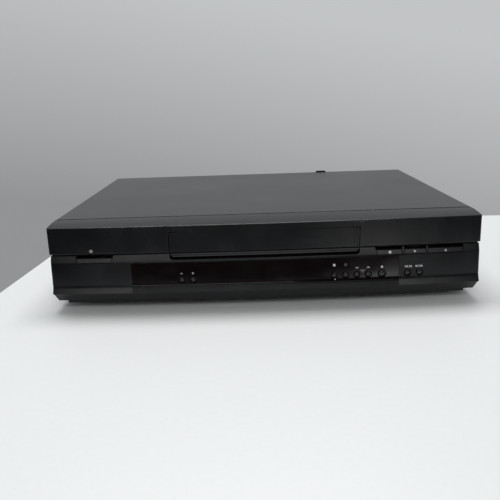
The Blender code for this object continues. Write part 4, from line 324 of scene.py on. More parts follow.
def face_outline():
    """The panel's front face as (setback, height), from the top edge down to the chin's edge."""
    points = [
        (TOP_SETBACK, TOP_EDGE_HEIGHT - TOP_EDGE_ROUND),
        (LIP_SETBACK, LIP_HEIGHT),
        (GROOVE_SETBACK, GROOVE_HEIGHT),
        (SHOULDER_SETBACK, SHOULDER_HEIGHT),
        (BELT_SETBACK, BELT_HEIGHT),
    ]
    points += knee()
    points.append((0.0, CHIN_HEIGHT + CHIN_ROUND))
    return points


def setback(height):
    """Depth of the front face behind the chin's edge, at a height, in the middle of the panel."""
    points = face_outline()
    for (back, high), (next_back, low) in zip(points, points[1:]):
        if low <= height <= high:
            share = (high - height) / (high - low)
            return back + share * (next_back - back)
    return points[0][0] if height > points[0][1] else points[-1][0]


def outline_between(bottom, top):
    """The front face between two heights, from the bottom up, as (setback, height)."""
    inner = [point for point in face_outline() if bottom < point[1] < top]
    return [(setback(bottom), bottom), *reversed(inner), (setback(top), top)]


def hinge_depth():
    """Depth of the door's axis."""
    return setback(SLOT_TOP) + bulge(SLOT_HALF_WIDTH) + HINGE_BEHIND


def stations(start, end, steps):
    """Evenly spaced places from start to end."""
    return [start + (end - start) * step / steps for step in range(steps + 1)]


def arc(centre, radius, start, end, steps):
    """Points of an arc round a centre, with angles in degrees."""
    found = []
    for step in range(steps + 1):
        angle = math.radians(start + (end - start) * step / steps)
        found.append((centre[0] + radius * math.cos(angle), centre[1] + radius * math.sin(angle)))
    return found


def filleted(points, radii, closed=True):
    """Rounds the corners of an outline. radii gives each corner's reach along its sides."""
    found = []
    count = len(points)
    for number, (point, radius) in enumerate(zip(points, radii)):
        if not radius or (not closed and number in (0, count - 1)):
            found.append(tuple(point))
            continue
        here = Vector(point)
        before = Vector(points[number - 1]) - here
        after = Vector(points[(number + 1) % count]) - here
        reach = min(radius, before.length / 2, after.length / 2)
        start = here + before.normalized() * reach
        end = here + after.normalized() * reach
        for step in range(FILLET_STEPS + 1):
            share = step / FILLET_STEPS
            spot = start * (1 - share) ** 2 + here * 2 * share * (1 - share) + end * share ** 2
            found.append(tuple(spot))
    return found


# Making objects ----------------------------------------------------------------------------------

def as_object(name, shape, sharp=SHARP):
    """Turns a bmesh into an object with its faces facing out and round parts shaded smooth."""
    bmesh.ops.remove_doubles(shape, verts=shape.verts, dist=1e-7)
    bmesh.ops.recalc_face_normals(shape, faces=shape.faces)
    mesh = bpy.data.meshes.new(name)
    shape.to_mesh(mesh)
    shape.free()
    mesh.shade_smooth()
    mesh.set_sharp_from_angle(angle=sharp)
    obj = bpy.data.objects.new(name, mesh)
    bpy.context.scene.collection.objects.link(obj)
    return obj


def loft(name, rings, banded=False):
    """Bridges a list of closed rings of points, all of one length, and caps both ends."""
    shape = bmesh.new()
    rows = [[shape.verts.new(point) for point in ring] for ring in rings]
    for row, following in zip(rows, rows[1:]):
        for i, corner in enumerate(row):
            j = (i + 1) % len(row)
            shape.faces.new((corner, row[j], following[j], following[i]))
    for row in (rows[0], rows[-1]):
        if banded:
            last = len(row)
            first = (last + 1) // 2
            shape.faces.new((row[0], row[1], row[-1]))
            for i in range(1, first - 1):
                shape.faces.new((row[i], row[i + 1], row[last - i - 1], row[last - i]))
        else:
            shape.faces.new(row)
    return as_object(name, shape)


def strip(name, places, section, lean=None):
    """Lofts a closed (setback, height) section along X so that it follows the front's curve.

    lean, where given, is (bottom, top, left, right): how far the top of either end leans along X.
    """
    rings = []
    first = places[0]
    last = places[-1]
    for x in places:
        ring = []
        for back, height in section:
            moved = x
            if lean:
                bottom, top, left, right = lean
                share = (x - first) / (last - first)
                moved += (left * (1 - share) + right * share) * (height - bottom) / (top - bottom)
            ring.append(at(moved, back + bulge(x), height))
        rings.append(ring)
    return loft(name, rings)


def prism(name, outline, along, start, end):
    """Extrudes a flat outline. along is the axis index; the outline gives the other two in X, Y, Z order."""
    shape = bmesh.new()
    points = []
    for first, second in outline:
        place = [first, second]
        place.insert(along, start)
        points.append(shape.verts.new(place))
    face = shape.faces.new(points)
    made = bmesh.ops.extrude_face_region(shape, geom=[face])
    way = [0.0, 0.0, 0.0]
    way[along] = end - start
    moved = [item for item in made["geom"] if isinstance(item, bmesh.types.BMVert)]
    bmesh.ops.translate(shape, verts=moved, vec=way)
    return as_object(name, shape)


def block(name, low, high):
    """A box between two corners, each given as (x, depth, height)."""
    (left, front, bottom), (right, back, top) = low, high
    outline = [(left, bottom), (right, bottom), (right, top), (left, top)]
    return prism(name, outline, 1, FRONT + front, FRONT + back)


def turned(name, profile, place, axis="Z", steps=ROUND_STEPS):
    """Spins (radius, height) points about an axis through a point."""
    shape = bmesh.new()
    points = [shape.verts.new((radius, 0.0, height)) for radius, height in profile]
    edges = [shape.edges.new(pair) for pair in zip(points, points[1:])]
    bmesh.ops.spin(
        shape,
        geom=points + edges,
        axis=(0, 0, 1),
        cent=(0, 0, 0),
        angle=2 * math.pi,
        steps=steps,
        use_duplicate=False,
    )
    quarter = math.pi / 2
    turns = {"X": Matrix.Rotation(quarter, 4, "Y"), "Y": Matrix.Rotation(-quarter, 4, "X"), "Z": Matrix()}
    shape.transform(Matrix.Translation(place) @ turns[axis])
    return as_object(name, shape)


def rod(name, radius, start, length, axis="Y", steps=ROUND_STEPS):
    profile = [(0.0, 0.0), (radius, 0.0), (radius, length), (0.0, length)]
    return turned(name, profile, at(*start), axis, steps)


def gathered(name, pieces):
    """One object made of several that don't touch each other."""
    shape = bmesh.new()
    for piece in pieces:
        shape.from_mesh(piece.data)
        bpy.data.objects.remove(piece, do_unlink=True)
    return as_object(name, shape)


def combine(target, operation, *tools):
    """Applies Booleans for good and removes their tools."""
    for tool in tools:
        modifier = target.modifiers.new("boolean", "BOOLEAN")
        modifier.operation = operation
        modifier.object = tool
        modifier.solver = "EXACT"
    result = bpy.data.meshes.new_from_object(target.evaluated_get(bpy.context.evaluated_depsgraph_get()))
    target.modifiers.clear()
    old = target.data
    target.data = result
    result.name = old.name
    bpy.data.meshes.remove(old)
    for tool in tools:
        bpy.data.objects.remove(tool, do_unlink=True)
    shape = bmesh.new()
    shape.from_mesh(result)
    bmesh.ops.dissolve_degenerate(shape, edges=shape.edges, dist=1e-7)
    shape.to_mesh(result)
    shape.free()
    result.shade_smooth()
    result.set_sharp_from_angle(angle=SHARP)
    return target


def place_on(piece, body, slot, finish, *nodes):
    """Gives a piece its body, finish and the CAD nodes that it stands for."""
    piece.data.materials.clear()
    piece.data.materials.append(finish)
    normals = piece.modifiers.new("normals", "WEIGHTED_NORMAL")
    normals.keep_sharp = True
    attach(piece, body)
    if nodes:
        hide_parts(*nodes)
    return piece


# Materials ---------------------------------------------------------------------------------------

class Finish:
    """A node material built on one Principled shader."""

    def __init__(self, name, colour, roughness, metallic=0.0, **settings):
        self.material = bpy.data.materials.new(name)
        self.material.use_nodes = True
        self.tree = self.material.node_tree
        self.shader = self.tree.nodes["Principled BSDF"]
        self.shader.inputs["Base Color"].default_value = (*colour, 1.0)
        self.shader.inputs["Roughness"].default_value = roughness
        self.shader.inputs["Metallic"].default_value = metallic
        for socket, value in settings.items():
            self.shader.inputs[socket.replace("_", " ")].default_value = value
        self.places = self.node("ShaderNodeTexCoord").outputs["Object"]

    def node(self, kind, **inputs):
        made = self.tree.nodes.new(kind)
        for socket, value in inputs.items():
            self.feed(made.inputs[socket.replace("_", " ")], value)
        return made

    def feed(self, socket, value):
        if isinstance(value, bpy.types.NodeSocket):
            self.tree.links.new(value, socket)
        else:
            socket.default_value = value

    def noise(self, size, detail=2.0, stretch=(1.0, 1.0, 1.0), roughness=0.5):
        """A noise whose blobs are about size metres across."""
        scale = tuple(1 / (size * share) for share in stretch)
        mapping = self.node("ShaderNodeMapping", Vector=self.places, Scale=scale)
        place = mapping.outputs["Vector"]
        made = self.node("ShaderNodeTexNoise", Vector=place, Scale=1.0, Detail=detail, Roughness=roughness)
        return made.outputs["Fac"]

    def span(self, value, low, high, start=0.0, end=1.0):
        """Maps a value from one range to another."""
        made = self.node("ShaderNodeMapRange")
        self.feed(made.inputs["Value"], value)
        made.inputs["From Min"].default_value = start
        made.inputs["From Max"].default_value = end
        made.inputs["To Min"].default_value = low
        made.inputs["To Max"].default_value = high
        return made.outputs["Result"]

    def mix(self, factor, first, second):
        made = self.tree.nodes.new("ShaderNodeMix")
        made.data_type = "RGBA"
        self.feed(made.inputs["Factor"], factor)
        for socket, value in ((made.inputs[6], first), (made.inputs[7], second)):
            self.feed(socket, value if isinstance(value, bpy.types.NodeSocket) else (*value, 1.0))
        return made.outputs[2]

    def edges(self, width):
        """A mask that is 1 on edges that stand out and 0 elsewhere."""
        rounded = self.node("ShaderNodeBevel")
        rounded.samples = 4
        rounded.inputs["Radius"].default_value = width
        geometry = self.node("ShaderNodeNewGeometry")
        dot = self.tree.nodes.new("ShaderNodeVectorMath")
        dot.operation = "DOT_PRODUCT"
        self.feed(dot.inputs[0], rounded.outputs["Normal"])
        self.feed(dot.inputs[1], geometry.outputs["Normal"])
        return self.span(dot.outputs["Value"], 1.0, 0.0, start=0.80, end=0.995)

    def bump(self, height, distance, strength=1.0, edge=0.0):
        """Bump over normals that are rounded at the edges where edge is given."""
        made = self.node("ShaderNodeBump", Height=height, Distance=distance, Strength=strength)
        if edge:
            rounded = self.node("ShaderNodeBevel")
            rounded.samples = 4
            rounded.inputs["Radius"].default_value = edge
            self.feed(made.inputs["Normal"], rounded.outputs["Normal"])
        self.feed(self.shader.inputs["Normal"], made.outputs["Normal"])

    def colour(self, value):
        self.feed(self.shader.inputs["Base Color"], value)

    def roughness(self, value):
        self.feed(self.shader.inputs["Roughness"], value)


def moulded_black(name, colour, roughness, grain=0.00035, depth=0.000006, **settings):
    """Black moulded plastic: spark grain, slightly uneven gloss and paler edges."""
    finish = Finish(name, colour, roughness, **settings)
    pale = tuple(part * 1.9 + 0.004 for part in colour)
    patches = finish.noise(0.035, detail=3.0)
    tint = finish.mix(finish.span(patches, 0.0, 0.25), colour, pale)
    finish.colour(finish.mix(finish.span(finish.edges(0.0004), 0.0, 0.6), tint, pale))
    finish.roughness(finish.span(patches, roughness - 0.04, roughness + 0.05, start=0.3, end=0.7))
    finish.bump(finish.noise(grain, detail=1.0), depth, edge=0.0002)
    return finish.material


def moulded_plastic(name, colour, roughness):
    """Coloured moulded plastic, a little uneven, with its edges rounded in the shading."""
    finish = Finish(name, colour, roughness)
    dull = tuple(part * 0.84 for part in colour)
    patches = finish.noise(0.012, detail=3.0)
    finish.colour(finish.mix(finish.span(patches, 0.0, 0.8, start=0.3, end=0.7), colour, dull))
    finish.roughness(finish.span(patches, roughness - 0.05, roughness + 0.07, start=0.3, end=0.7))
    finish.bump(finish.noise(0.0006, detail=1.0), 0.000006, edge=0.0002)
    return finish.material


def cover_paint():
    """Baked black paint with a fine wrinkle, on sheet steel."""
    colour = (0.028, 0.0285, 0.0285)
    finish = Finish("cover_paint", colour, 0.34)
    wide = finish.noise(0.09, detail=4.0)
    fine = finish.noise(0.0009, detail=3.0)
    base = finish.mix(finish.span(wide, 0.0, 0.22), colour, (0.036, 0.036, 0.036))
    specks = finish.mix(finish.span(fine, 0.0, 0.3, start=0.35, end=0.75), base, (0.050, 0.050, 0.050))
    finish.colour(finish.mix(finish.span(finish.edges(0.0006), 0.0, 0.55), specks, (0.10, 0.10, 0.10)))
    finish.roughness(finish.span(wide, 0.31, 0.37, start=0.3, end=0.7))
    finish.bump(fine, 0.000006, edge=0.0003)
    return finish.material


def window_plastic():
    """Smoked glossy plastic with a faint warm tint."""
    colour = (0.0045, 0.0026, 0.0028)
    finish = Finish("window_plastic", colour, 0.09)
    smears = finish.noise(0.012, detail=3.0, stretch=(2.0, 1.0, 1.0))
    finish.colour(finish.mix(finish.span(smears, 0.0, 0.5), colour, (0.008, 0.0042, 0.0046)))
    finish.roughness(finish.span(smears, 0.07, 0.14, start=0.35, end=0.7))
    return finish.material


def ink(name, colour):
    """Printing of one pale colour, a little uneven."""
    finish = Finish(name, colour, 0.6)
    thin = tuple(part * 0.86 for part in colour)
    finish.colour(finish.mix(finish.noise(0.0004, detail=2.0), thin, colour))
    finish.roughness(finish.span(finish.noise(0.0006), 0.5, 0.7))
    return finish.material


def sheet_steel(name, colour, roughness):
    """Zinc plated sheet with fine rolling lines and soft blotches."""
    finish = Finish(name, colour, roughness, metallic=1.0)
    lines = finish.noise(0.0006, detail=2.0, stretch=(60.0, 1.0, 1.0))
    blotches = finish.noise(0.006, detail=3.0)
    dark = tuple(part * 0.72 for part in colour)
    finish.colour(finish.mix(finish.span(blotches, 0.0, 0.8, start=0.3, end=0.7), colour, dark))
    finish.roughness(finish.span(lines, roughness - 0.08, roughness + 0.12, start=0.3, end=0.7))
    finish.bump(lines, 0.00001, edge=0.0002)
    return finish.material


def turned_metal(name, colour, roughness):
    """Lathe turned metal with fine rings."""
    finish = Finish(name, colour, roughness, metallic=1.0)
    rings = finish.noise(0.0003, detail=1.0, stretch=(8.0, 8.0, 1.0))
    finish.colour(finish.mix(finish.span(rings, 0.0, 0.5), colour, tuple(part * 0.8 for part in colour)))
    finish.roughness(finish.span(rings, roughness - 0.05, roughness + 0.1))
    finish.bump(rings, 0.000006, edge=0.0002)
    return finish.material


def board_resin(name, colour, track):
    """Resin board with tracks of another shade."""
    finish = Finish(name, colour, 0.55)
    cells = finish.tree.nodes.new("ShaderNodeTexVoronoi")
    cells.feature = "DISTANCE_TO_EDGE"
    finish.feed(cells.inputs["Vector"], finish.places)
    cells.inputs["Scale"].default_value = 220.0
    tracks = finish.span(cells.outputs["Distance"], 1.0, 0.0, start=0.03, end=0.06)
    finish.colour(finish.mix(tracks, colour, track))
    finish.roughness(finish.span(finish.noise(0.003), 0.45, 0.65))
    finish.bump(tracks, 0.00004, edge=0.0002)
    return finish.material


def foot_rubber():
    colour = (0.018, 0.018, 0.018)
    finish = Finish("foot_rubber", colour, 0.8)
    finish.colour(finish.mix(finish.noise(0.004, detail=4.0), colour, (0.035, 0.034, 0.033)))
    finish.roughness(finish.span(finish.noise(0.002), 0.7, 0.9))
    finish.bump(finish.noise(0.0005), 0.00004, edge=0.0003)
    return finish.material


def display_glass():
    """The display tube's dark face with faint rows of segments behind it."""
    colour = (0.02, 0.03, 0.03)
    finish = Finish("display_glass", colour, 0.08)
    checks = finish.noise(0.002, detail=1.0, stretch=(1.0, 1.0, 3.0))
    shares = finish.span(checks, 0.0, 1.0, start=0.45, end=0.55)
    finish.colour(finish.mix(shares, colour, (0.05, 0.07, 0.065)))
    finish.roughness(finish.span(checks, 0.06, 0.12))
    return finish.material


PANEL = moulded_black("panel_plastic", (0.0050, 0.0055, 0.0066), 0.25)
BUTTON = moulded_black("button_plastic", (0.013, 0.013, 0.0135), 0.22, grain=0.0006, depth=0.000004)
DECK = moulded_plastic("deck_plastic", (0.74, 0.73, 0.67), 0.45)
WHITE_PLASTIC = moulded_plastic("white_plastic", (0.78, 0.78, 0.76), 0.35)
RED_PLASTIC = moulded_plastic("red_plastic", (0.50, 0.025, 0.02), 0.35)
COVER = cover_paint()
WINDOW = window_plastic()
INK = ink("print_ink", (0.84, 0.84, 0.82))
GREY_INK = ink("grey_ink", (0.13, 0.13, 0.135))
CHASSIS = sheet_steel("chassis_steel", (0.55, 0.54, 0.50), 0.38)
SPRING = sheet_steel("spring_steel", (0.6, 0.6, 0.6), 0.25)
TURNED = turned_metal("machined_metal", (0.78, 0.78, 0.78), 0.28)
BRASS = turned_metal("brass_metal", (0.72, 0.52, 0.22), 0.3)
SCREW = turned_metal("screw_steel", (0.30, 0.30, 0.31), 0.32)
BOARD = board_resin("board_resin", (0.17, 0.095, 0.038), (0.10, 0.075, 0.03))
# Near-black board for the front circuit board: painted shade, so that the gaps round the door and keys look
# like a shaded hollow
PAINTED_SHADE_BOARD = board_resin("painted_shade_board_resin", (0.012, 0.013, 0.012), (0.02, 0.022, 0.018))
RUBBER = foot_rubber()
DISPLAY = display_glass()

# A finish for each of the record's material slots
NODE_FINISHES = {
    "cover_paint": COVER,
    "panel_plastic": PANEL,
    "button_plastic": BUTTON,
    "deck_plastic": DECK,
    "window_plastic": WINDOW,
    "display_glass": DISPLAY,
    "foot_rubber": RUBBER,
    "chassis_steel": CHASSIS,
    "spring_steel": SPRING,
    "machined_metal": TURNED,
    "brass_metal": BRASS,
    "board_resin": BOARD,
}
# The front circuit board takes the near-black board, which is painted shade
OWN_FINISHES = {"front_circuit_board": PAINTED_SHADE_BOARD}


def dress_nodes():
    """Every CAD node gets the finish of its material slot, whose name its own material has."""
    for name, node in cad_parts.items():
        slot = node.data.materials[0].name
        node.data.materials.clear()
        node.data.materials.append(OWN_FINISHES.get(name, NODE_FINISHES[slot]))


# Front panel -------------------------------------------------------------------------------------

def panel_stations():
    """Places along X with the round corners' fall in depth at both ends."""
    flat = HALF - CORNER_RADIUS
    right = [(x, 0.0) for x in stations(0.0, flat, FACE_STEPS // 2)]
    for step in range(1, CORNER_STEPS + 1):
        angle = math.pi / 2 * step / CORNER_STEPS
        right.append((flat + CORNER_RADIUS * math.sin(angle), CORNER_RADIUS * (1 - math.cos(angle))))
    left = [(-x, fall) for x, fall in reversed(right[1:])]
    return left + right


def panel_outline():
    """The panel's section as (setback, height, share of the curve, inset of the ends)."""
    rise = SEAM_HEIGHT - TOP_EDGE_HEIGHT
    start = TOP_SETBACK + TOP_EDGE_ROUND
    points = []
    for step in range(STRIP_STEPS + 1):
        share = step / STRIP_STEPS
        depth = SEAM_DEPTH - share * (SEAM_DEPTH - start)
        points.append((depth, SEAM_HEIGHT - rise * share ** 2, share, 0.0))
    rounding = {TOP_EDGE_HEIGHT - TOP_EDGE_ROUND: 0.0006, LIP_HEIGHT: 0.0005, GROOVE_HEIGHT: 0.0003}
    rounding.update({SHOULDER_HEIGHT: 0.0006, BELT_HEIGHT: 0.0012, CHIN_HEIGHT + CHIN_ROUND: 0.0003})
    face = face_outline()
    flat = filleted(face, [rounding.get(height, 0.0) for _, height in face], closed=False)
    centre = (start, TOP_EDGE_HEIGHT - TOP_EDGE_ROUND)
    edge = arc(centre, TOP_EDGE_ROUND, 90, 180, CORNER_STEPS)[1:-1]
    points += [(back, height, 1.0, 0.0) for back, height in edge]
    for back, height in flat:
        inset = 0.0
        if height < LIP_HEIGHT:
            inset = WAIST_INSET if height > SHOULDER_HEIGHT else LOWER_INSET
        points.append((back, height, 1.0, inset))
    points.append((CHIN_ROUND, CHIN_HEIGHT, 1.0, LOWER_INSET + CHIN_ROUND))
    points.append((UNDERCUT_SETBACK, UNDERCUT_HEIGHT, 1.0, CHAMFER_INSET))
    return points


def panel_shell():
    rings = []
    for x, fall in panel_stations():
        front = []
        back = []
        for setback_there, height, share, inset in panel_outline():
            reach = x * (HALF - inset) / HALF
            front.append(at(reach, setback_there + share * (bulge(x) + fall), height))
            if share:
                back.append(at(reach, SEAM_DEPTH, height))
        rings.append(front + list(reversed(back)))
    return loft("front_panel_shell", rings, banded=True)


def panel_inside():
    """The hollow behind the front wall, open to the back."""
    wall = PANEL_WALL
    back = SEAM_DEPTH + CUT
    section = [
        (back, SEAM_HEIGHT - PANEL_TOP_WALL),
        (TOP_SETBACK + wall, TOP_EDGE_HEIGHT - PANEL_TOP_WALL),
        (GROOVE_SETBACK + wall, GROOVE_HEIGHT),
        (BELT_SETBACK + wall, BELT_HEIGHT),
        (FLARE_KNEE_SETBACK + wall, FLARE_KNEE_HEIGHT),
        (UNDERCUT_SETBACK + wall, UNDERCUT_HEIGHT + PANEL_TOP_WALL),
        (back, UNDERCUT_HEIGHT + PANEL_TOP_WALL),
    ]
    half = HALF - PANEL_WALL - CHAMFER_INSET
    rings = []
    for x in stations(-half, half, 10):
        rings.append([at(x, deep + (0.0 if deep >= back else bulge(x)), height) for deep, height in section])
    return loft("panel_inside", rings)


def tongue():
    """The rim that the cover slides over."""
    outer = HALF - COVER_WALL - GAP
    inner = outer - TONGUE_WALL
    top = COVER_TOP - COVER_WALL - GAP
    bottom = UNDERCUT_HEIGHT + PANEL_TOP_WALL
    outline = [
        (-outer, bottom),
        (-outer, top - COVER_BEND),
        (-outer + COVER_BEND, top),
        (outer - COVER_BEND, top),
        (outer, top - COVER_BEND),
        (outer, bottom),
        (inner, bottom),
        (inner, top - TONGUE_WALL),
        (-inner, top - TONGUE_WALL),
        (-inner, bottom),
    ]
    return prism("tongue", outline, 1, FRONT + SEAM_DEPTH - TONGUE_ROOT, FRONT + SEAM_DEPTH + TONGUE_LENGTH)


def keel():
    """The lower middle part of the chin."""
    section = [
        (KEEL_SETBACK, KEEL_HEIGHT),
        (KEEL_DEPTH, KEEL_HEIGHT),
        (KEEL_DEPTH, UNDERCUT_HEIGHT + PANEL_TOP_WALL / 2),
        (UNDERCUT_SETBACK + PANEL_WALL / 2, UNDERCUT_HEIGHT + PANEL_TOP_WALL / 2),
    ]
    return strip("keel", stations(-KEEL_HALF_WIDTH, KEEL_HALF_WIDTH, FACE_STEPS), section)


def sill():
    """The ledge that stands out a little under the window."""
    top = WINDOW_BOTTOM
    bottom = CHIN_HEIGHT + CHIN_ROUND
    outline = outline_between(bottom, top)
    front = [(back - SILL_PROUD * (height - bottom) / (top - bottom), height) for back, height in outline]
    section = [*front, (setback(top) + PANEL_WALL / 2, top), (setback(bottom) + PANEL_WALL / 2, bottom)]
    return strip("sill", stations(-WINDOW_HALF_WIDTH, WINDOW_HALF_WIDTH, FACE_STEPS), section)


def slot_outline(half, bottom, top, radius):
    """An upright opening with round lower corners, as (x, height)."""
    outline = [(-half, top)]
    outline += arc((-half + radius, bottom + radius), radius, 180, 270, CORNER_STEPS)
    outline += arc((half - radius, bottom + radius), radius, 270, 360, CORNER_STEPS)
    outline.append((half, top))
    return outline


def slot_cutter():
    outline = slot_outline(SLOT_HALF_WIDTH + SLOT_EASE, SLOT_BOTTOM, SLOT_TOP + SLOT_EASE, SLOT_ROUND)
    return prism("slot_cutter", outline, 1, FRONT - CUT, FRONT + SEAM_DEPTH - TONGUE_ROOT - CUT)


def relief_cutter():
    """Room for the door's barrel behind the slot's upper edge."""
    front = setback(SLOT_TOP) + RELIEF_SKIN
    section = [
        (front, SLOT_TOP - CUT),
        (front + RELIEF_DEPTH, SLOT_TOP - CUT),
        (front + RELIEF_DEPTH, SLOT_TOP + RELIEF_HEIGHT),
        (front, SLOT_TOP + RELIEF_HEIGHT),
    ]
    return strip("relief_cutter", stations(-SLOT_HALF_WIDTH, SLOT_HALF_WIDTH, 12), section)


def ear(side):
    """A block beside the slot that holds one of the door's pins."""
    inner = SLOT_HALF_WIDTH - GAP
    outer = inner + EAR_WIDTH
    low = (min(side * inner, side * outer), setback(SLOT_TOP) + PANEL_WALL / 2, HINGE_HEIGHT - EAR_HEIGHT)
    high = (max(side * inner, side * outer), setback(SLOT_TOP) + EAR_DEPTH, SEAM_HEIGHT - PANEL_TOP_WALL)
    return block("ear", low, high)


def window_cutter():
    deep = WINDOW_SINK + WINDOW_WALL + GAP
    front = [(back + deep, height) for back, height in outline_between(WINDOW_BOTTOM, WINDOW_TOP)]
    section = [*front, (-PANEL_WALL, WINDOW_TOP), (-PANEL_WALL, WINDOW_BOTTOM)]
    return strip("window_cutter", stations(-WINDOW_HALF_WIDTH, WINDOW_HALF_WIDTH, FACE_STEPS), section)


def middle_of(name):
    """The middle of a node along X."""
    low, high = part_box(name)
    return (low.x + high.x) / 2


def hole_cutters(names):
    length = SEAM_DEPTH - TONGUE_ROOT
    pieces = [rod("hole", HOLES[name], (middle_of(name), -CUT, BUTTON_HEIGHT), length) for name in names]
    return gathered("holes", pieces)


def key_ends(name):
    """Left and right end of a key at its bottom, from the frame."""
    low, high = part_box(name)
    left_lean, right_lean = KEY_LEANS[name]
    return low.x + max(KEY_LEG_RIM, -left_lean), high.x - max(KEY_LEG_RIM, right_lean)


def key_cutters():
    cutters = []
    back = SEAM_DEPTH - TONGUE_ROOT
    low = KEY_BOTTOM - KEY_GAP
    section = [(-CUT, low), (back, low), (back, KEY_SLOT_TOP), (-CUT, KEY_SLOT_TOP)]
    for name, (lean_left, lean_right) in KEY_LEANS.items():
        left, right = key_ends(name)
        lean = (KEY_BOTTOM, KEY_TOP, lean_left, lean_right)
        cutters.append(strip("key_hole", (left - KEY_GAP, right + KEY_GAP), section, lean))
    return gathered("key_holes", cutters)


def front_panel():
    """The moulded front: a curved shell with a waist groove, a flared chin and all its openings."""
    panel = panel_shell()
    combine(panel, "DIFFERENCE", panel_inside())
    combine(panel, "UNION", tongue(), keel(), sill(), ear(-1), ear(1))
    pins = []
    for middle in (-SLOT_HALF_WIDTH, SLOT_HALF_WIDTH):
        start = (middle - PIN_LENGTH, hinge_depth(), HINGE_HEIGHT)
        pins.append(rod("pin_hole", PIN_RADIUS + GAP, start, PIN_LENGTH * 2, "X"))
    combine(panel, "DIFFERENCE", slot_cutter(), relief_cutter(), gathered("pin_holes", pins))
    low = (-DISPLAY_HALF_WIDTH, -CUT, DISPLAY_BOTTOM)
    high = (DISPLAY_HALF_WIDTH, SEAM_DEPTH - TONGUE_ROOT - CUT, DISPLAY_TOP)
    display = block("display_cutter", low, high)
    combine(panel, "DIFFERENCE", window_cutter(), display, hole_cutters(HOLES), key_cutters())
    return place_on(panel, ROOT, "panel_plastic", PANEL, "front_panel")


# Door --------------------------------------------------------------------------------------------

def door_outline(groove):
    """The door's front face as (setback, height), with the recorder's waist and one more fine line."""
    bottom = SLOT_BOTTOM + DOOR_SILL_GAP
    top = SLOT_TOP - DOOR_GAP
    line = [
        (setback(DOOR_LINE_HEIGHT - DOOR_LINE_WIDTH), DOOR_LINE_HEIGHT - DOOR_LINE_WIDTH),
        (setback(DOOR_LINE_HEIGHT) + DOOR_LINE_DEPTH, DOOR_LINE_HEIGHT),
        (setback(DOOR_LINE_HEIGHT + DOOR_LINE_WIDTH), DOOR_LINE_HEIGHT + DOOR_LINE_WIDTH),
    ]
    points = [*outline_between(bottom, top), *line]
    points.sort(key=lambda point: point[1])
    grooved = [(back + (groove if height > LIP_HEIGHT - GAP else 0.0), height) for back, height in points]
    return filleted(grooved, [0.00025] * len(grooved), closed=False)


def door_places():
    """Places along the door with the depth of its upright lines."""
    half = SLOT_HALF_WIDTH - DOOR_GAP
    edge = DOOR_RIB_WIDTH / 2
    ribs = sorted(side * (half - inset) for side in (-1, 1) for inset in DOOR_RIB_INSETS)
    places = [(-half, 0.0)]
    for rib in ribs:
        places += [(rib - edge, 0.0), (rib, DOOR_RIB_DEPTH), (rib + edge, 0.0)]
    inner = ribs[len(ribs) // 2] - DOOR_RIB_WIDTH
    places += [(x, 0.0) for x in stations(-inner, inner, FACE_STEPS // 2)]
    places.append((half, 0.0))
    return sorted(places)


def cassette_door():
    """The flap over the slot. It hangs on two pins behind the slot's upper edge."""
    rings = []
    for x, groove in door_places():
        front = door_outline(groove)
        top_back = front[-1][0] - groove + DOOR_WALL
        bottom_back = front[0][0] + DOOR_WALL
        waist_back = GROOVE_SETBACK + DOOR_WALL / 2
        section = [*front, (top_back, front[-1][1]), (waist_back, GROOVE_HEIGHT), (bottom_back, front[0][1])]
        rings.append([at(x, back + bulge(x), height) for back, height in section])
    door = loft("door_flap", rings)
    half = SLOT_HALF_WIDTH - DOOR_GAP
    outline = slot_outline(half, SLOT_BOTTOM + DOOR_SILL_GAP, SLOT_TOP, SLOT_ROUND)
    combine(door, "INTERSECT", prism("door_shape", outline, 1, FRONT - CUT, FRONT + SEAM_DEPTH))
    low = SLOT_TOP - SPRING_NOTCH
    skin = setback(low) + SPRING_SKIN
    notch = [(skin, low), (skin + 2 * DOOR_WALL, low), (skin + 2 * DOOR_WALL, SLOT_TOP), (skin, SLOT_TOP)]
    left = -SLOT_HALF_WIDTH + DOOR_GAP + SPRING_ROOM
    combine(door, "DIFFERENCE", strip("spring_notch", stations(-SLOT_HALF_WIDTH - CUT, left, 2), notch))
    barrel = rod("door_barrel", BARREL_RADIUS, (left, hinge_depth(), HINGE_HEIGHT), half - left, "X")
    reach = SLOT_HALF_WIDTH + PIN_LENGTH - GAP
    pins = rod("door_pins", PIN_RADIUS, (-reach, hinge_depth(), HINGE_HEIGHT), 2 * reach, "X")
    behind = hinge_depth() + BARREL_RADIUS - GAP - bulge(SLOT_HALF_WIDTH)
    front = setback(SLOT_TOP) + RELIEF_SKIN + GAP
    neck = [
        (front, SLOT_TOP - DOOR_WALL),
        (behind, SLOT_TOP - DOOR_WALL),
        (behind, HINGE_HEIGHT),
        (front + BARREL_RADIUS / 2, HINGE_HEIGHT),
        (front, SLOT_TOP),
    ]
    combine(door, "UNION", strip("door_neck", stations(left, half, 12), neck), barrel, pins)
    return place_on(door, "flap", "panel_plastic", PANEL, "cassette_door")


# Window, buttons and keys ------------------------------------------------------------------------

def display_window():
    low = WINDOW_BOTTOM + WINDOW_END_GAP
    high = WINDOW_TOP - WINDOW_END_GAP
    front = [(back + WINDOW_SINK, height) for back, height in outline_between(low, high)]
    rear = [(back + WINDOW_WALL, height) for back, height in reversed(front)]
    half = WINDOW_HALF_WIDTH - WINDOW_END_GAP
    window = strip("window_pane", stations(-half, half, FACE_STEPS), [*front, *rear])
    inside = [name for name in HOLES if abs(middle_of(name)) < WINDOW_HALF_WIDTH]
    combine(window, "DIFFERENCE", hole_cutters(inside))
    return place_on(window, ROOT, "window_plastic", WINDOW, "display_window")


def body_of(name):
    """The body of a button or key, which has the node's name without its last word."""
    return name.rsplit("_", 1)[0]


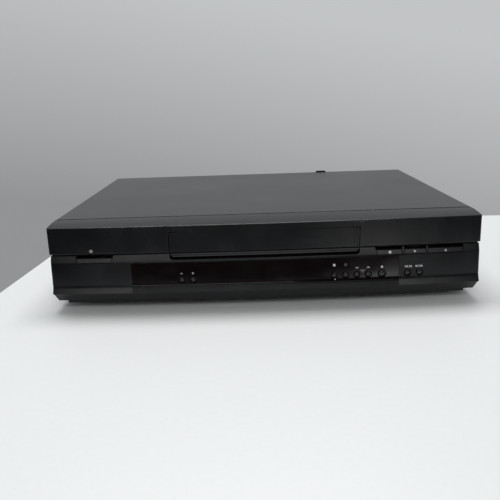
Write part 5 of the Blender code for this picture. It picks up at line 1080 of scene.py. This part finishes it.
def soften(piece, width, degrees=40):
    """Rounds a piece's edges for good."""
    modifier = piece.modifiers.new("bevel", "BEVEL")
    modifier.width = width
    modifier.segments = 3
    modifier.limit_method = "ANGLE"
    modifier.angle_limit = math.radians(degrees)
    old = piece.data
    piece.data = bpy.data.meshes.new_from_object(piece.evaluated_get(bpy.context.evaluated_depsgraph_get()))
    piece.modifiers.clear()
    bpy.data.meshes.remove(old)
    piece.data.shade_smooth()
    piece.data.set_sharp_from_angle(angle=SHARP)
    return piece


def panel_back(height, x):
    """Depth of the front wall's rear face at a height and a place along X."""
    points = [
        (GROOVE_SETBACK, GROOVE_HEIGHT),
        (BELT_SETBACK, BELT_HEIGHT),
        (FLARE_KNEE_SETBACK, FLARE_KNEE_HEIGHT),
        (UNDERCUT_SETBACK, UNDERCUT_HEIGHT + PANEL_TOP_WALL),
    ]
    for (back, high), (next_back, low) in zip(points, points[1:]):
        if low <= height <= high:
            share = (high - height) / (high - low)
            return back + share * (next_back - back) + PANEL_WALL + bulge(x)
    return points[0][0] + PANEL_WALL + bulge(x)


def stem_end():
    """Depth at which every stem ends before its switch, from the frame."""
    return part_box("record_button")[1].y - FRONT


def round_button(name):
    """A domed cap with a flange behind the wall and a stem to its switch."""
    x = middle_of(name)
    cap = CAPS[name]
    flange = HOLES[name] + FLANGE_RIM
    lean = panel_back(BUTTON_HEIGHT + flange, x) - panel_back(BUTTON_HEIGHT, x)
    face = setback(BUTTON_HEIGHT) + bulge(x) - BUTTON_PROUD
    behind = panel_back(BUTTON_HEIGHT, x) + lean + BULGE * flange / HALF + GAP
    end = stem_end()
    profile = [
        (0.0, end),
        (STEM_RADIUS, end),
        (STEM_RADIUS, behind + FLANGE_WALL),
        (flange, behind + FLANGE_WALL),
        (flange, behind),
        (cap, behind),
    ]
    for step in range(DOME_STEPS + 1):
        turn = math.pi / 2 * step / DOME_STEPS
        profile.append((cap * math.cos(turn), face + BUTTON_DOME * (1 - math.sin(turn))))
    shape = [(radius, depth - face) for radius, depth in profile]
    button = turned(name + "_cap", shape, at(x, face, BUTTON_HEIGHT), "Y")
    place_on(button, body_of(name), "button_plastic", BUTTON, name)


def waist_key(name):
    """A key that fills its cut-out in the waist, with a leg down behind the wall to its switch."""
    left, right = key_ends(name)
    back = GROOVE_SETBACK + PANEL_WALL + KEY_LEG_WALL
    front = [(depth + KEY_SINK, height) for depth, height in outline_between(KEY_BOTTOM, KEY_TOP)]
    section = [*front, (back, KEY_TOP), (back, KEY_BOTTOM)]
    lean = (KEY_BOTTOM, KEY_TOP, *KEY_LEANS[name])
    key = soften(strip(name + "_cap", stations(left, right, KEY_STEPS), section, lean), KEY_SOFTNESS)
    low = KEY_LEG_BOTTOM
    high = KEY_BOTTOM + KEY_LEG_RIM
    wall = PANEL_WALL + GAP
    leg_section = [
        (setback(low) + wall, low),
        (BELT_SETBACK + wall, BELT_HEIGHT),
        (setback(high) + wall + GAP, high),
        (setback(high) + wall + KEY_LEG_WALL, high),
        (setback(low) + wall + KEY_LEG_WALL, low),
    ]
    leg = strip("key_leg", stations(left - KEY_LEG_RIM, right + KEY_LEG_RIM, KEY_STEPS), leg_section)
    middle = (left + right) / 2
    start = setback(KEY_SWITCH_HEIGHT) + bulge(middle) + wall + GAP
    stem = rod("key_stem", STEM_RADIUS, (middle, start, KEY_SWITCH_HEIGHT), stem_end() - start)
    combine(key, "UNION", leg, stem)
    place_on(key, body_of(name), "button_plastic", BUTTON, name)


# Cover, rear panel and sockets -------------------------------------------------------------------

def cover_section():
    """The bent sheet's section as (x, height), with lips turned in along the bottom."""
    inside = HALF - COVER_WALL
    lip = inside - COVER_LIP
    bend = COVER_BEND
    inner_bend = COVER_BEND - COVER_WALL
    right = [(lip, COVER_BOTTOM), (HALF, COVER_BOTTOM)]
    right += arc((HALF - bend, COVER_TOP - bend), bend, 0, 90, CORNER_STEPS)
    inner = arc((inside - inner_bend, COVER_TOP - COVER_WALL - inner_bend), inner_bend, 90, 0, CORNER_STEPS)
    inner += [(inside, COVER_BOTTOM + COVER_WALL), (lip, COVER_BOTTOM + COVER_WALL)]
    left_outer = [(-x, height) for x, height in reversed(right)]
    left_inner = [(-x, height) for x, height in reversed(inner)]
    return right + left_outer + left_inner + inner


def slot_with_round_ends(left, right, bottom, top):
    """An upright slot as a flat outline."""
    radius = (right - left) / 2
    middle = (left + right) / 2
    outline = arc((middle, top - radius), radius, 0, 180, CORNER_STEPS)
    return outline + arc((middle, bottom + radius), radius, 180, 360, CORNER_STEPS)


def top_cover():
    """Bent sheet steel over the top and both sides, with vent slots towards the back."""
    low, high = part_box("top_cover")
    cover = prism("cover_sheet", cover_section(), 1, low.y, high.y)
    slots = []
    first = high.y - VENT_BACK_INSET - (VENTS - 1) * VENT_PITCH
    for number in range(VENTS):
        start = first + number * VENT_PITCH
        outline = slot_with_round_ends(start, start + VENT_WIDTH, VENT_BOTTOM, VENT_TOP)
        slots.append(prism("cover_vent", outline, 0, -HALF - CUT, HALF + CUT))
    combine(cover, "DIFFERENCE", gathered("cover_vents", slots))
    place_on(soften(cover, COVER_SOFTNESS, 60), ROOT, "cover_paint", COVER, "top_cover")


def scart_outline(name, shrink, radius):
    """A socket's outline with one slanted lower corner, as (x, height)."""
    low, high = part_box(name)
    x, z = (low.x + high.x) / 2, (low.z + high.z) / 2
    half = SCART_WIDTH / 2 - shrink
    tall = SCART_HEIGHT / 2 - shrink
    slant = [(half - SCART_LEAN, -tall), (half, -tall + SCART_LEAN)]
    corners = [(-half, -tall), *slant, (half, tall), (-half, tall)]
    return [(x + across, z + up) for across, up in filleted(corners, [radius] * len(corners))]


def scart_contacts(name):
    """Two rows of metal contacts along the socket's block."""
    low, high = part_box(name)
    x, z = (low.x + high.x) / 2, (low.z + high.z) / 2
    tall = SCART_HEIGHT / 2 - 3 * SCART_WALL
    start = high.y - FRONT - SCART_RECESS
    end = high.y - FRONT - SCART_PROUD - SCART_WALL
    pieces = []
    for number in range(CONTACTS):
        left = x + (number - CONTACTS / 2) * CONTACT_PITCH - CONTACT_WIDTH / 2
        for side in (-1, 1):
            edges = sorted((z + side * (tall - CONTACT_PROUD), z + side * (tall + CONTACT_PROUD)))
            pieces.append(block("contact", (left, start, edges[0]), (left + CONTACT_WIDTH, end, edges[1])))
    place_on(gathered(name + "_contacts", pieces), ROOT, "machined_metal", TURNED)


def scart_socket(name):
    """A shell with a slanted corner and the contact block standing in it."""
    low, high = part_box(name)
    shell = prism(name + "_shell", scart_outline(name, 0.0, SCART_ROUND), 1, low.y, high.y)
    room = scart_outline(name, SCART_WALL, SCART_ROUND)
    combine(shell, "DIFFERENCE", prism("recess", room, 1, high.y - SCART_RECESS, high.y + CUT))
    core = scart_outline(name, 3 * SCART_WALL, SCART_ROUND)
    combine(shell, "UNION", prism("core", core, 1, high.y - SCART_RECESS - CUT, high.y - SCART_PROUD))
    place_on(soften(shell, REAR_SOFTNESS / 2), ROOT, "panel_plastic", PANEL, name)
    scart_contacts(name)


def rear_tab():
    """The screw tab that rises behind the cover, with round upper corners, and the step that carries it."""
    x = TAB_SHARE * HALF
    left = x - TAB_WIDTH / 2
    right = x + TAB_WIDTH / 2
    outline = arc((right - TAB_ROUND, COVER_TOP + TAB_RISE - TAB_ROUND), TAB_ROUND, 0, 90, CORNER_STEPS)
    outline += arc((left + TAB_ROUND, COVER_TOP + TAB_RISE - TAB_ROUND), TAB_ROUND, 90, 180, CORNER_STEPS)
    outline += [(left, COVER_TOP - TAB_DROP), (right, COVER_TOP - TAB_DROP)]
    start = CASE_DEPTH + GAP
    tab = prism("tab", outline, 1, FRONT + start, FRONT + start + TAB_WALL)
    low = (left, REAR_FACE - REAR_WALL / 2, COVER_TOP - TAB_DROP)
    root = block("tab_root", low, (right, start + TAB_WALL, COVER_TOP - COVER_WALL - GAP))
    return combine(tab, "UNION", root)


def rear_openings():
    """All cut-outs of the rear panel."""
    start = FRONT + REAR_FACE - REAR_WALL - CUT
    end = FRONT + REAR_FACE + CUT
    length = end - start
    deep = start - FRONT
    found = []
    for name in ("scart_socket_lower", "scart_socket_upper"):
        found.append(prism("scart_hole", scart_outline(name, -GAP, SCART_ROUND), 1, start, end))
    aerial = middle_of("aerial_unit")
    for height in AERIAL_HEIGHTS:
        found.append(rod("aerial_hole", COLLAR_RADIUS + GAP, (aerial, deep, height), length))
    phono = middle_of("phono_sockets")
    for height in PHONO_HEIGHTS:
        found.append(rod("phono_hole", PHONO_RADIUS + GAP, (phono, deep, height), length))
    low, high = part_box("mains_inlet")
    corner = (low.x - GAP, deep, 2 * INLET_HEIGHT - high.z - GAP)
    found.append(block("inlet_hole", corner, (high.x + GAP, end - FRONT, high.z + GAP)))
    first = high.x + REAR_VENT_SPACING
    for number in range(REAR_VENTS):
        x = first + number * REAR_VENT_PITCH
        outline = slot_with_round_ends(x, x + REAR_VENT_WIDTH, REAR_VENT_BOTTOM, REAR_VENT_TOP)
        found.append(prism("rear_vent", outline, 1, start, end))
    return gathered("rear_openings", found)


def rear_panel():
    """The back wall with its cut-outs and the screw tab."""
    half = HALF - COVER_WALL - GAP
    top = COVER_TOP - COVER_WALL - GAP
    low = COVER_BOTTOM + COVER_WALL + GAP
    lip = half - COVER_LIP - GAP
    right = [(lip, REAR_BOTTOM), (lip, low), (half, low)]
    right += arc((half - COVER_BEND, top - COVER_BEND), COVER_BEND, 0, 90, CORNER_STEPS)
    outline = right + [(-x, height) for x, height in reversed(right)]
    panel = prism("rear_wall", outline, 1, FRONT + REAR_FACE - REAR_WALL, FRONT + REAR_FACE)
    combine(panel, "UNION", rear_tab())
    combine(panel, "DIFFERENCE", rear_openings())
    place_on(soften(panel, REAR_SOFTNESS, 60), ROOT, "panel_plastic", PANEL, "rear_panel")


def phono_rings():
    """A white and a red ring round the two sound sockets."""
    x = middle_of("phono_sockets")
    inner = PHONO_RADIUS + GAP
    profile = [
        (inner, 0.0),
        (RING_RADIUS, 0.0),
        (RING_RADIUS - RING_WALL / 2, RING_WALL),
        (inner, RING_WALL),
        (inner, 0.0),
    ]
    for name, height, finish in zip(("red_ring", "white_ring"), PHONO_HEIGHTS, (RED_PLASTIC, WHITE_PLASTIC)):
        place_on(turned(name, profile, at(x, REAR_FACE, height), "Y"), ROOT, None, finish)


def screw(name, x, depth, height, turn):
    """A screw with a round head and a crossed recess, lying against a rear face."""
    profile = [(0.0, 0.0), (SCREW_RADIUS, 0.0), (SCREW_RADIUS, SCREW_TALL / 2)]
    for step in range(1, DOME_STEPS + 1):
        angle = math.pi / 2 * step / DOME_STEPS
        profile.append((SCREW_RADIUS * math.cos(angle), SCREW_TALL / 2 * (1 + math.sin(angle))))
    head = turned(name, profile, at(x, depth, height), "Y")
    arms = []
    for angle in (turn, turn + 90):
        way = Vector((math.cos(math.radians(angle)), math.sin(math.radians(angle))))
        across = Vector((-way.y, way.x)) * SCREW_CROSS_WALL / 2
        reach = way * SCREW_CROSS
        corners = [-reach - across, reach - across, reach + across, across - reach]
        outline = [(x + corner.x, height + corner.y) for corner in corners]
        start = FRONT + depth + SCREW_TALL / 3
        arms.append(prism("arm", outline, 1, start, start + SCREW_TALL))
    for arm in arms:
        combine(head, "DIFFERENCE", arm)
    place_on(head, ROOT, "machined_metal", SCREW)


def rear_screws():
    """The screws that hold the rear panel and the cover."""
    places = [(share * HALF, REAR_FACE, LOW_SCREW_HEIGHT) for share in LOW_SCREWS]
    places += [(share * HALF, REAR_FACE, HIGH_SCREW_HEIGHT) for share in HIGH_SCREWS]
    places.append((TAB_SHARE * HALF, CASE_DEPTH + GAP + TAB_WALL, COVER_TOP - TAB_DROP / 2))
    for number, (x, depth, height) in enumerate(places):
        screw(f"screw_{number}", x, depth, height, SCREW_TURN * number)


def foot(name):
    """A round rubber foot with soft rims."""
    low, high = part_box(name)
    radius = (high.x - low.x) / 2
    tall = high.z - low.z
    outline = [(0.0, 0.0), (radius - FOOT_TAPER, 0.0), (radius, tall), (0.0, tall)]
    profile = filleted(outline, [0.0, FOOT_SOFTNESS, FOOT_SOFTNESS / 2, 0.0], closed=False)
    place = Vector(((low.x + high.x) / 2, (low.y + high.y) / 2, low.z))
    place_on(turned(name + "_rubber", profile, place), ROOT, "foot_rubber", RUBBER, name)


# Printed signs -----------------------------------------------------------------------------------

def circle(u, v, radius, start=0, end=360, steps=SIGN_STEPS):
    points = arc((u, v), radius, start, end, steps)
    return points[:-1] if end - start == 360 else points


def poly(*points):
    return ("fill", points)


def line(*points):
    return ("line", points)


def pointer(u, v, half, tall, way):
    """A filled triangle that points up, down, left or right."""
    turn = {"right": 0, "up": 90, "left": 180, "down": 270}[way]
    cosine, sine = round(math.cos(math.radians(turn))), round(math.sin(math.radians(turn)))
    corners = [(-tall / 2, half), (-tall / 2, -half), (tall / 2, 0.0)]
    return poly(*[(u + a * cosine - b * sine, v + a * sine + b * cosine) for a, b in corners])


def ribbon(shape, points):
    """Adds a flat ribbon of SIGN_LINE width along an open row of points."""
    sides = []
    for number, point in enumerate(points):
        before = Vector(points[max(number - 1, 0)])
        after = Vector(points[min(number + 1, len(points) - 1)])
        way = (after - before).normalized()
        across = Vector((-way.y, way.x)) * SIGN_LINE / 2
        here = Vector(point)
        sides.append([shape.verts.new((*(here + across), 0.0)), shape.verts.new((*(here - across), 0.0))])
    for (a, b), (c, d) in zip(sides, sides[1:]):
        shape.faces.new((a, b, d, c))


def sign(name, body, x, height, marks, sink=0.0, finish=INK):
    """Ink on the curved face: filled shapes and lines about a point of the face."""
    shape = bmesh.new()
    for kind, points in marks:
        if kind == "line":
            ribbon(shape, points)
        else:
            shape.faces.new([shape.verts.new((u, v, 0.0)) for u, v in points])
    made = bmesh.ops.extrude_face_region(shape, geom=list(shape.faces))
    back = [item for item in made["geom"] if isinstance(item, bmesh.types.BMVert)]
    bmesh.ops.translate(shape, verts=back, vec=(0.0, 0.0, SIGN_WALL))
    for vertex in shape.verts:
        u, v, deep = vertex.co
        depth = setback(height + v) + bulge(x + u) + sink - SIGN_PROUD + deep
        vertex.co = at(x + u, depth, height + v)
    place_on(as_object(name, shape), body, None, finish)


def transport_signs():
    """The signs on the three keys and over the two plain buttons."""
    half = SIGN_HALF
    for name, marks in {
        "stop_key": [poly((-half, -half), (half, -half), (half, half), (-half, half))],
        "play_key": [pointer(0.0, 0.0, half, 2 * half, "right")],
        "eject_key": [
            pointer(0.0, half / 3, half, 4 * half / 3, "up"),
            poly((-half, -half), (half, -half), (half, -2 * half / 3), (-half, -2 * half / 3)),
        ],
    }.items():
        left, right = key_ends(name)
        sign(name + "_sign", body_of(name), (left + right) / 2, KEY_SIGN_HEIGHT, marks, KEY_SINK)
    tall = ARROW_SHARE * half
    outer, stroke, inner, far = ARROW_PLACE_SHARES
    for name, way, side in (("rewind_button", "left", -1), ("fast_forward_button", "right", 1)):
        marks = [
            pointer(side * outer * half, 0.0, half, tall, way),
            poly(*bar(side * stroke * half, half)),
            pointer(side * inner * half, 0.0, half, tall, way),
            pointer(side * far * half, 0.0, half, tall, way),
        ]
        sign(name + "_sign", ROOT, middle_of(name) - side * PLAIN_SIGN_SHIFT, PLAIN_SIGN_HEIGHT, marks)


def bar(u, half):
    """The corners of a thin upright bar."""
    edge = SIGN_LINE / 2
    return [(u - edge, -half), (u + edge, -half), (u + edge, half), (u - edge, half)]


def window_signs():
    """The signs over the round buttons in the window."""
    wide = CHEVRON_HALF
    tall = wide * CHEVRON_SHARE
    middle = (0.0, 0.0)
    long_hand, short_hand = (SIGN_HALF * share for share in CLOCK_HAND_SHARES)
    rim = arc(middle, SIGN_HALF, 0, 360, SIGN_STEPS)
    clock = [line(*rim), line((0.0, long_hand), middle, (short_hand, 0.0))]
    edge = SIGN_HALF * TRACKING_SHARE
    minus = line((-edge, 0.0), (edge, 0.0))
    plus = [line((-edge, 0.0), (edge, 0.0)), line((0.0, -edge), (0.0, edge))]
    down = line((-wide, tall / 2), (0.0, -tall / 2), (wide, tall / 2))
    up = line((-wide, -tall / 2), (0.0, tall / 2), (wide, -tall / 2))
    for name, height, marks in (
        ("record_button", RECORD_SIGN_HEIGHT, [poly(*circle(0.0, 0.0, RECORD_DOT))]),
        ("timer_button", RECORD_SIGN_HEIGHT, clock),
        ("channel_down_button", CHANNEL_SIGN_HEIGHT, [down]),
        ("channel_up_button", CHANNEL_SIGN_HEIGHT, [up]),
        ("timed_record_button", CHANNEL_SIGN_HEIGHT, [poly(*circle(0.0, 0.0, TIMED_DOT))]),
        ("tracking_down_button", TRACKING_SIGN_HEIGHT, [minus]),
        ("tracking_up_button", TRACKING_SIGN_HEIGHT, plus),
    ):
        finish = GREY_INK if name == "timer_button" else INK
        sign(name + "_sign", ROOT, middle_of(name), height, marks, WINDOW_SINK, finish)
    lamp = [poly(*circle(0.0, 0.0, LAMP_DOT))]
    sign("record_lamp", ROOT, middle_of("record_button") + LAMP_SHIFT, LAMP_HEIGHT, lamp, WINDOW_SINK)
    middle = (middle_of("channel_down_button") + middle_of("channel_up_button")) / 2
    wedge = [pointer(0.0, 0.0, WEDGE_HALF, WEDGE_HALF, "down")]
    sign("channel_wedge", ROOT, middle, WEDGE_HEIGHT, wedge, WINDOW_SINK, GREY_INK)


def power_sign():
    """The common sign for power, over its key."""
    ring = arc((0.0, 0.0), POWER_SIGN_RADIUS, 120, 420, SIGN_STEPS)
    marks = [line(*ring), line((0.0, 0.0), (0.0, POWER_SIGN_RADIUS * POWER_STROKE_SHARE))]
    sign("power_sign", ROOT, POWER_SIGN_X, POWER_SIGN_HEIGHT, marks)


# Camera, light and surroundings ------------------------------------------------------------------

PICTURE = 500
FOCAL_PIXELS = 467.40
EYE = Vector((-0.011905, -0.577345, 0.206732))
PITCH = 0.325991110
YAW = -0.00562332
ROLL = -0.0334566686
SENSOR = 36.0

TABLE_WIDTH = 1.60
TABLE_LENGTH = 0.66
TABLE_THICK = 0.030
TABLE_COLOUR = (0.81, 0.825, 0.82)
WALL_COLOUR = (0.40, 0.42, 0.43)
# The walls that the camera sees: painted light, darker low down and lighter higher up and towards the right
WALL_LOW = (0.285, 0.293, 0.298)
WALL_HIGH = (0.54, 0.555, 0.56)
WALL_RISE = (-0.28, 0.16)
WALL_LEAN = 0.22
ROOM_RISE = (-0.6, 0.5)
ROOM_DIM = 0.05

# Each lamp's place, what it faces, its width, height and power, and its turn in degrees
LAMPS = {
    "ceiling": ((-0.1, 0.7, 2.1), (0.0, 0.0, 0.0), 1.8, 0.7, 42.0, 0.0),
    "ceiling_front": ((0.1, -1.45, 1.85), (0.0, -0.2, 0.0), 1.4, 0.9, 9.0, 0.0),
    "front_high": ((0.0, -2.5, 1.45), (0.0, -0.15, 0.03), 3.0, 0.9, 10.0, 0.0),
    "front_line": ((-0.35, -2.6, 0.38), (-0.05, -0.15, 0.05), 1.3, 0.07, 0.9, 0.0),
    "front_right": ((0.74, -2.2, -0.31), (0.10, 0.0, 0.05), 0.45, 0.40, 1.1, 9.0),
}


def set_camera():
    data = bpy.data.cameras.new("camera")
    data.sensor_width = SENSOR
    data.lens = FOCAL_PIXELS / PICTURE * SENSOR
    data.clip_start = 0.01
    camera = bpy.data.objects.new("camera", data)
    bpy.context.scene.collection.objects.link(camera)
    forward = Vector((math.sin(YAW) * math.cos(PITCH), math.cos(YAW) * math.cos(PITCH), -math.sin(PITCH)))
    level = Vector((math.cos(YAW), -math.sin(YAW), 0.0))
    up = level.cross(forward)
    right = math.cos(ROLL) * level + math.sin(ROLL) * up
    top = -math.sin(ROLL) * level + math.cos(ROLL) * up
    rows = Matrix((right, top, -forward)).transposed().to_4x4()
    camera.matrix_world = Matrix.Translation(EYE) @ rows
    bpy.context.scene.camera = camera


def on_table(column, row):
    """The point of the table top that a pixel of the photograph shows."""
    camera = bpy.context.scene.camera.matrix_world
    ray = camera.to_3x3() @ Vector((column - PICTURE / 2, PICTURE / 2 - row, -FOCAL_PIXELS))
    share = -EYE.z / ray.z
    return EYE + ray * share


def table():
    """A pale table top whose back and left edges lie where the photograph shows them."""
    near = on_table(0, 293)
    back = on_table(485, 215.5)
    along = (on_table(50, 257) - near).normalized()
    across = Vector((along.y, -along.x, 0.0))
    back_left = near + along * (back - near).dot(along)
    back_right = back_left + across * TABLE_WIDTH
    front_left = back_left - along * TABLE_LENGTH
    front_right = back_right - along * TABLE_LENGTH
    outline = [tuple(corner.xy) for corner in (back_left, front_left, front_right, back_right)]
    top = prism("table_top", outline, 2, -TABLE_THICK, 0.0)
    finish = Finish("table_laminate", TABLE_COLOUR, 0.42)
    specks = finish.noise(0.004, detail=4.0)
    finish.colour(finish.mix(finish.span(specks, 0.0, 1.0), TABLE_COLOUR, (0.77, 0.78, 0.785)))
    finish.roughness(finish.span(specks, 0.38, 0.48))
    top.data.materials.append(finish.material)


def surroundings():
    """Grey walls for the camera, with painted light that makes them darker low down and lighter higher up
    and to the right, and the same room as soft light that is darker towards the front.
    """
    world = bpy.data.worlds.new("room")
    bpy.context.scene.world = world
    world.use_nodes = True
    nodes = world.node_tree.nodes
    links = world.node_tree.links
    seen = nodes["Background"]
    seen.inputs["Strength"].default_value = 1.0
    light = nodes.new("ShaderNodeBackground")
    way = nodes.new("ShaderNodeTexCoord")
    parts = nodes.new("ShaderNodeSeparateXYZ")
    links.new(way.outputs["Generated"], parts.inputs[0])
    rise = nodes.new("ShaderNodeMapRange")
    # Painted light on the walls: brighter with height and a little brighter towards the right
    rise.inputs["From Min"].default_value, rise.inputs["From Max"].default_value = WALL_RISE
    lean = nodes.new("ShaderNodeMath")
    lean.operation = "MULTIPLY_ADD"
    lean.inputs[1].default_value = WALL_LEAN
    links.new(parts.outputs["X"], lean.inputs[0])
    links.new(parts.outputs["Z"], lean.inputs[2])
    links.new(lean.outputs[0], rise.inputs["Value"])
    wall = nodes.new("ShaderNodeMix")
    wall.data_type = "RGBA"
    wall.inputs[6].default_value = (*WALL_LOW, 1.0)
    wall.inputs[7].default_value = (*WALL_HIGH, 1.0)
    links.new(rise.outputs["Result"], wall.inputs["Factor"])
    links.new(wall.outputs[2], seen.inputs["Color"])
    back = nodes.new("ShaderNodeMapRange")
    back.inputs["From Min"].default_value, back.inputs["From Max"].default_value = ROOM_RISE
    back.inputs["To Min"].default_value = ROOM_DIM
    back.inputs["To Max"].default_value = 1.0
    links.new(parts.outputs["Y"], back.inputs["Value"])
    light.inputs["Color"].default_value = (*WALL_COLOUR, 1.0)
    links.new(back.outputs["Result"], light.inputs["Strength"])
    path = nodes.new("ShaderNodeLightPath")
    mix = nodes.new("ShaderNodeMixShader")
    links.new(path.outputs["Is Camera Ray"], mix.inputs["Fac"])
    links.new(light.outputs[0], mix.inputs[1])
    links.new(seen.outputs[0], mix.inputs[2])
    links.new(mix.outputs[0], nodes["World Output"].inputs["Surface"])


def area_light(name, place, target, width, height, power, tilt):
    data = bpy.data.lights.new(name, "AREA")
    data.shape = "RECTANGLE"
    data.size = width
    data.size_y = height
    data.energy = power
    lamp = bpy.data.objects.new(name, data)
    bpy.context.scene.collection.objects.link(lamp)
    way = Vector(target) - Vector(place)
    turn = way.to_track_quat("-Z", "Y").to_matrix().to_4x4() @ Matrix.Rotation(math.radians(tilt), 4, "Z")
    lamp.matrix_world = Matrix.Translation(place) @ turn


set_camera()
table()
surroundings()
for lamp, settings in LAMPS.items():
    area_light(lamp, *settings)

dress_nodes()
top_cover()
front_panel()
cassette_door()
display_window()
for button in HOLES:
    round_button(button)
for key in KEY_LEANS:
    waist_key(key)
transport_signs()
window_signs()
power_sign()
rear_panel()
scart_socket("scart_socket_lower")
scart_socket("scart_socket_upper")
phono_rings()
rear_screws()
for rubber in ("front_foot_left", "front_foot_right", "rear_foot_left", "rear_foot_right"):
    foot(rubber)

bpy.context.scene.view_settings.view_transform = "Standard"
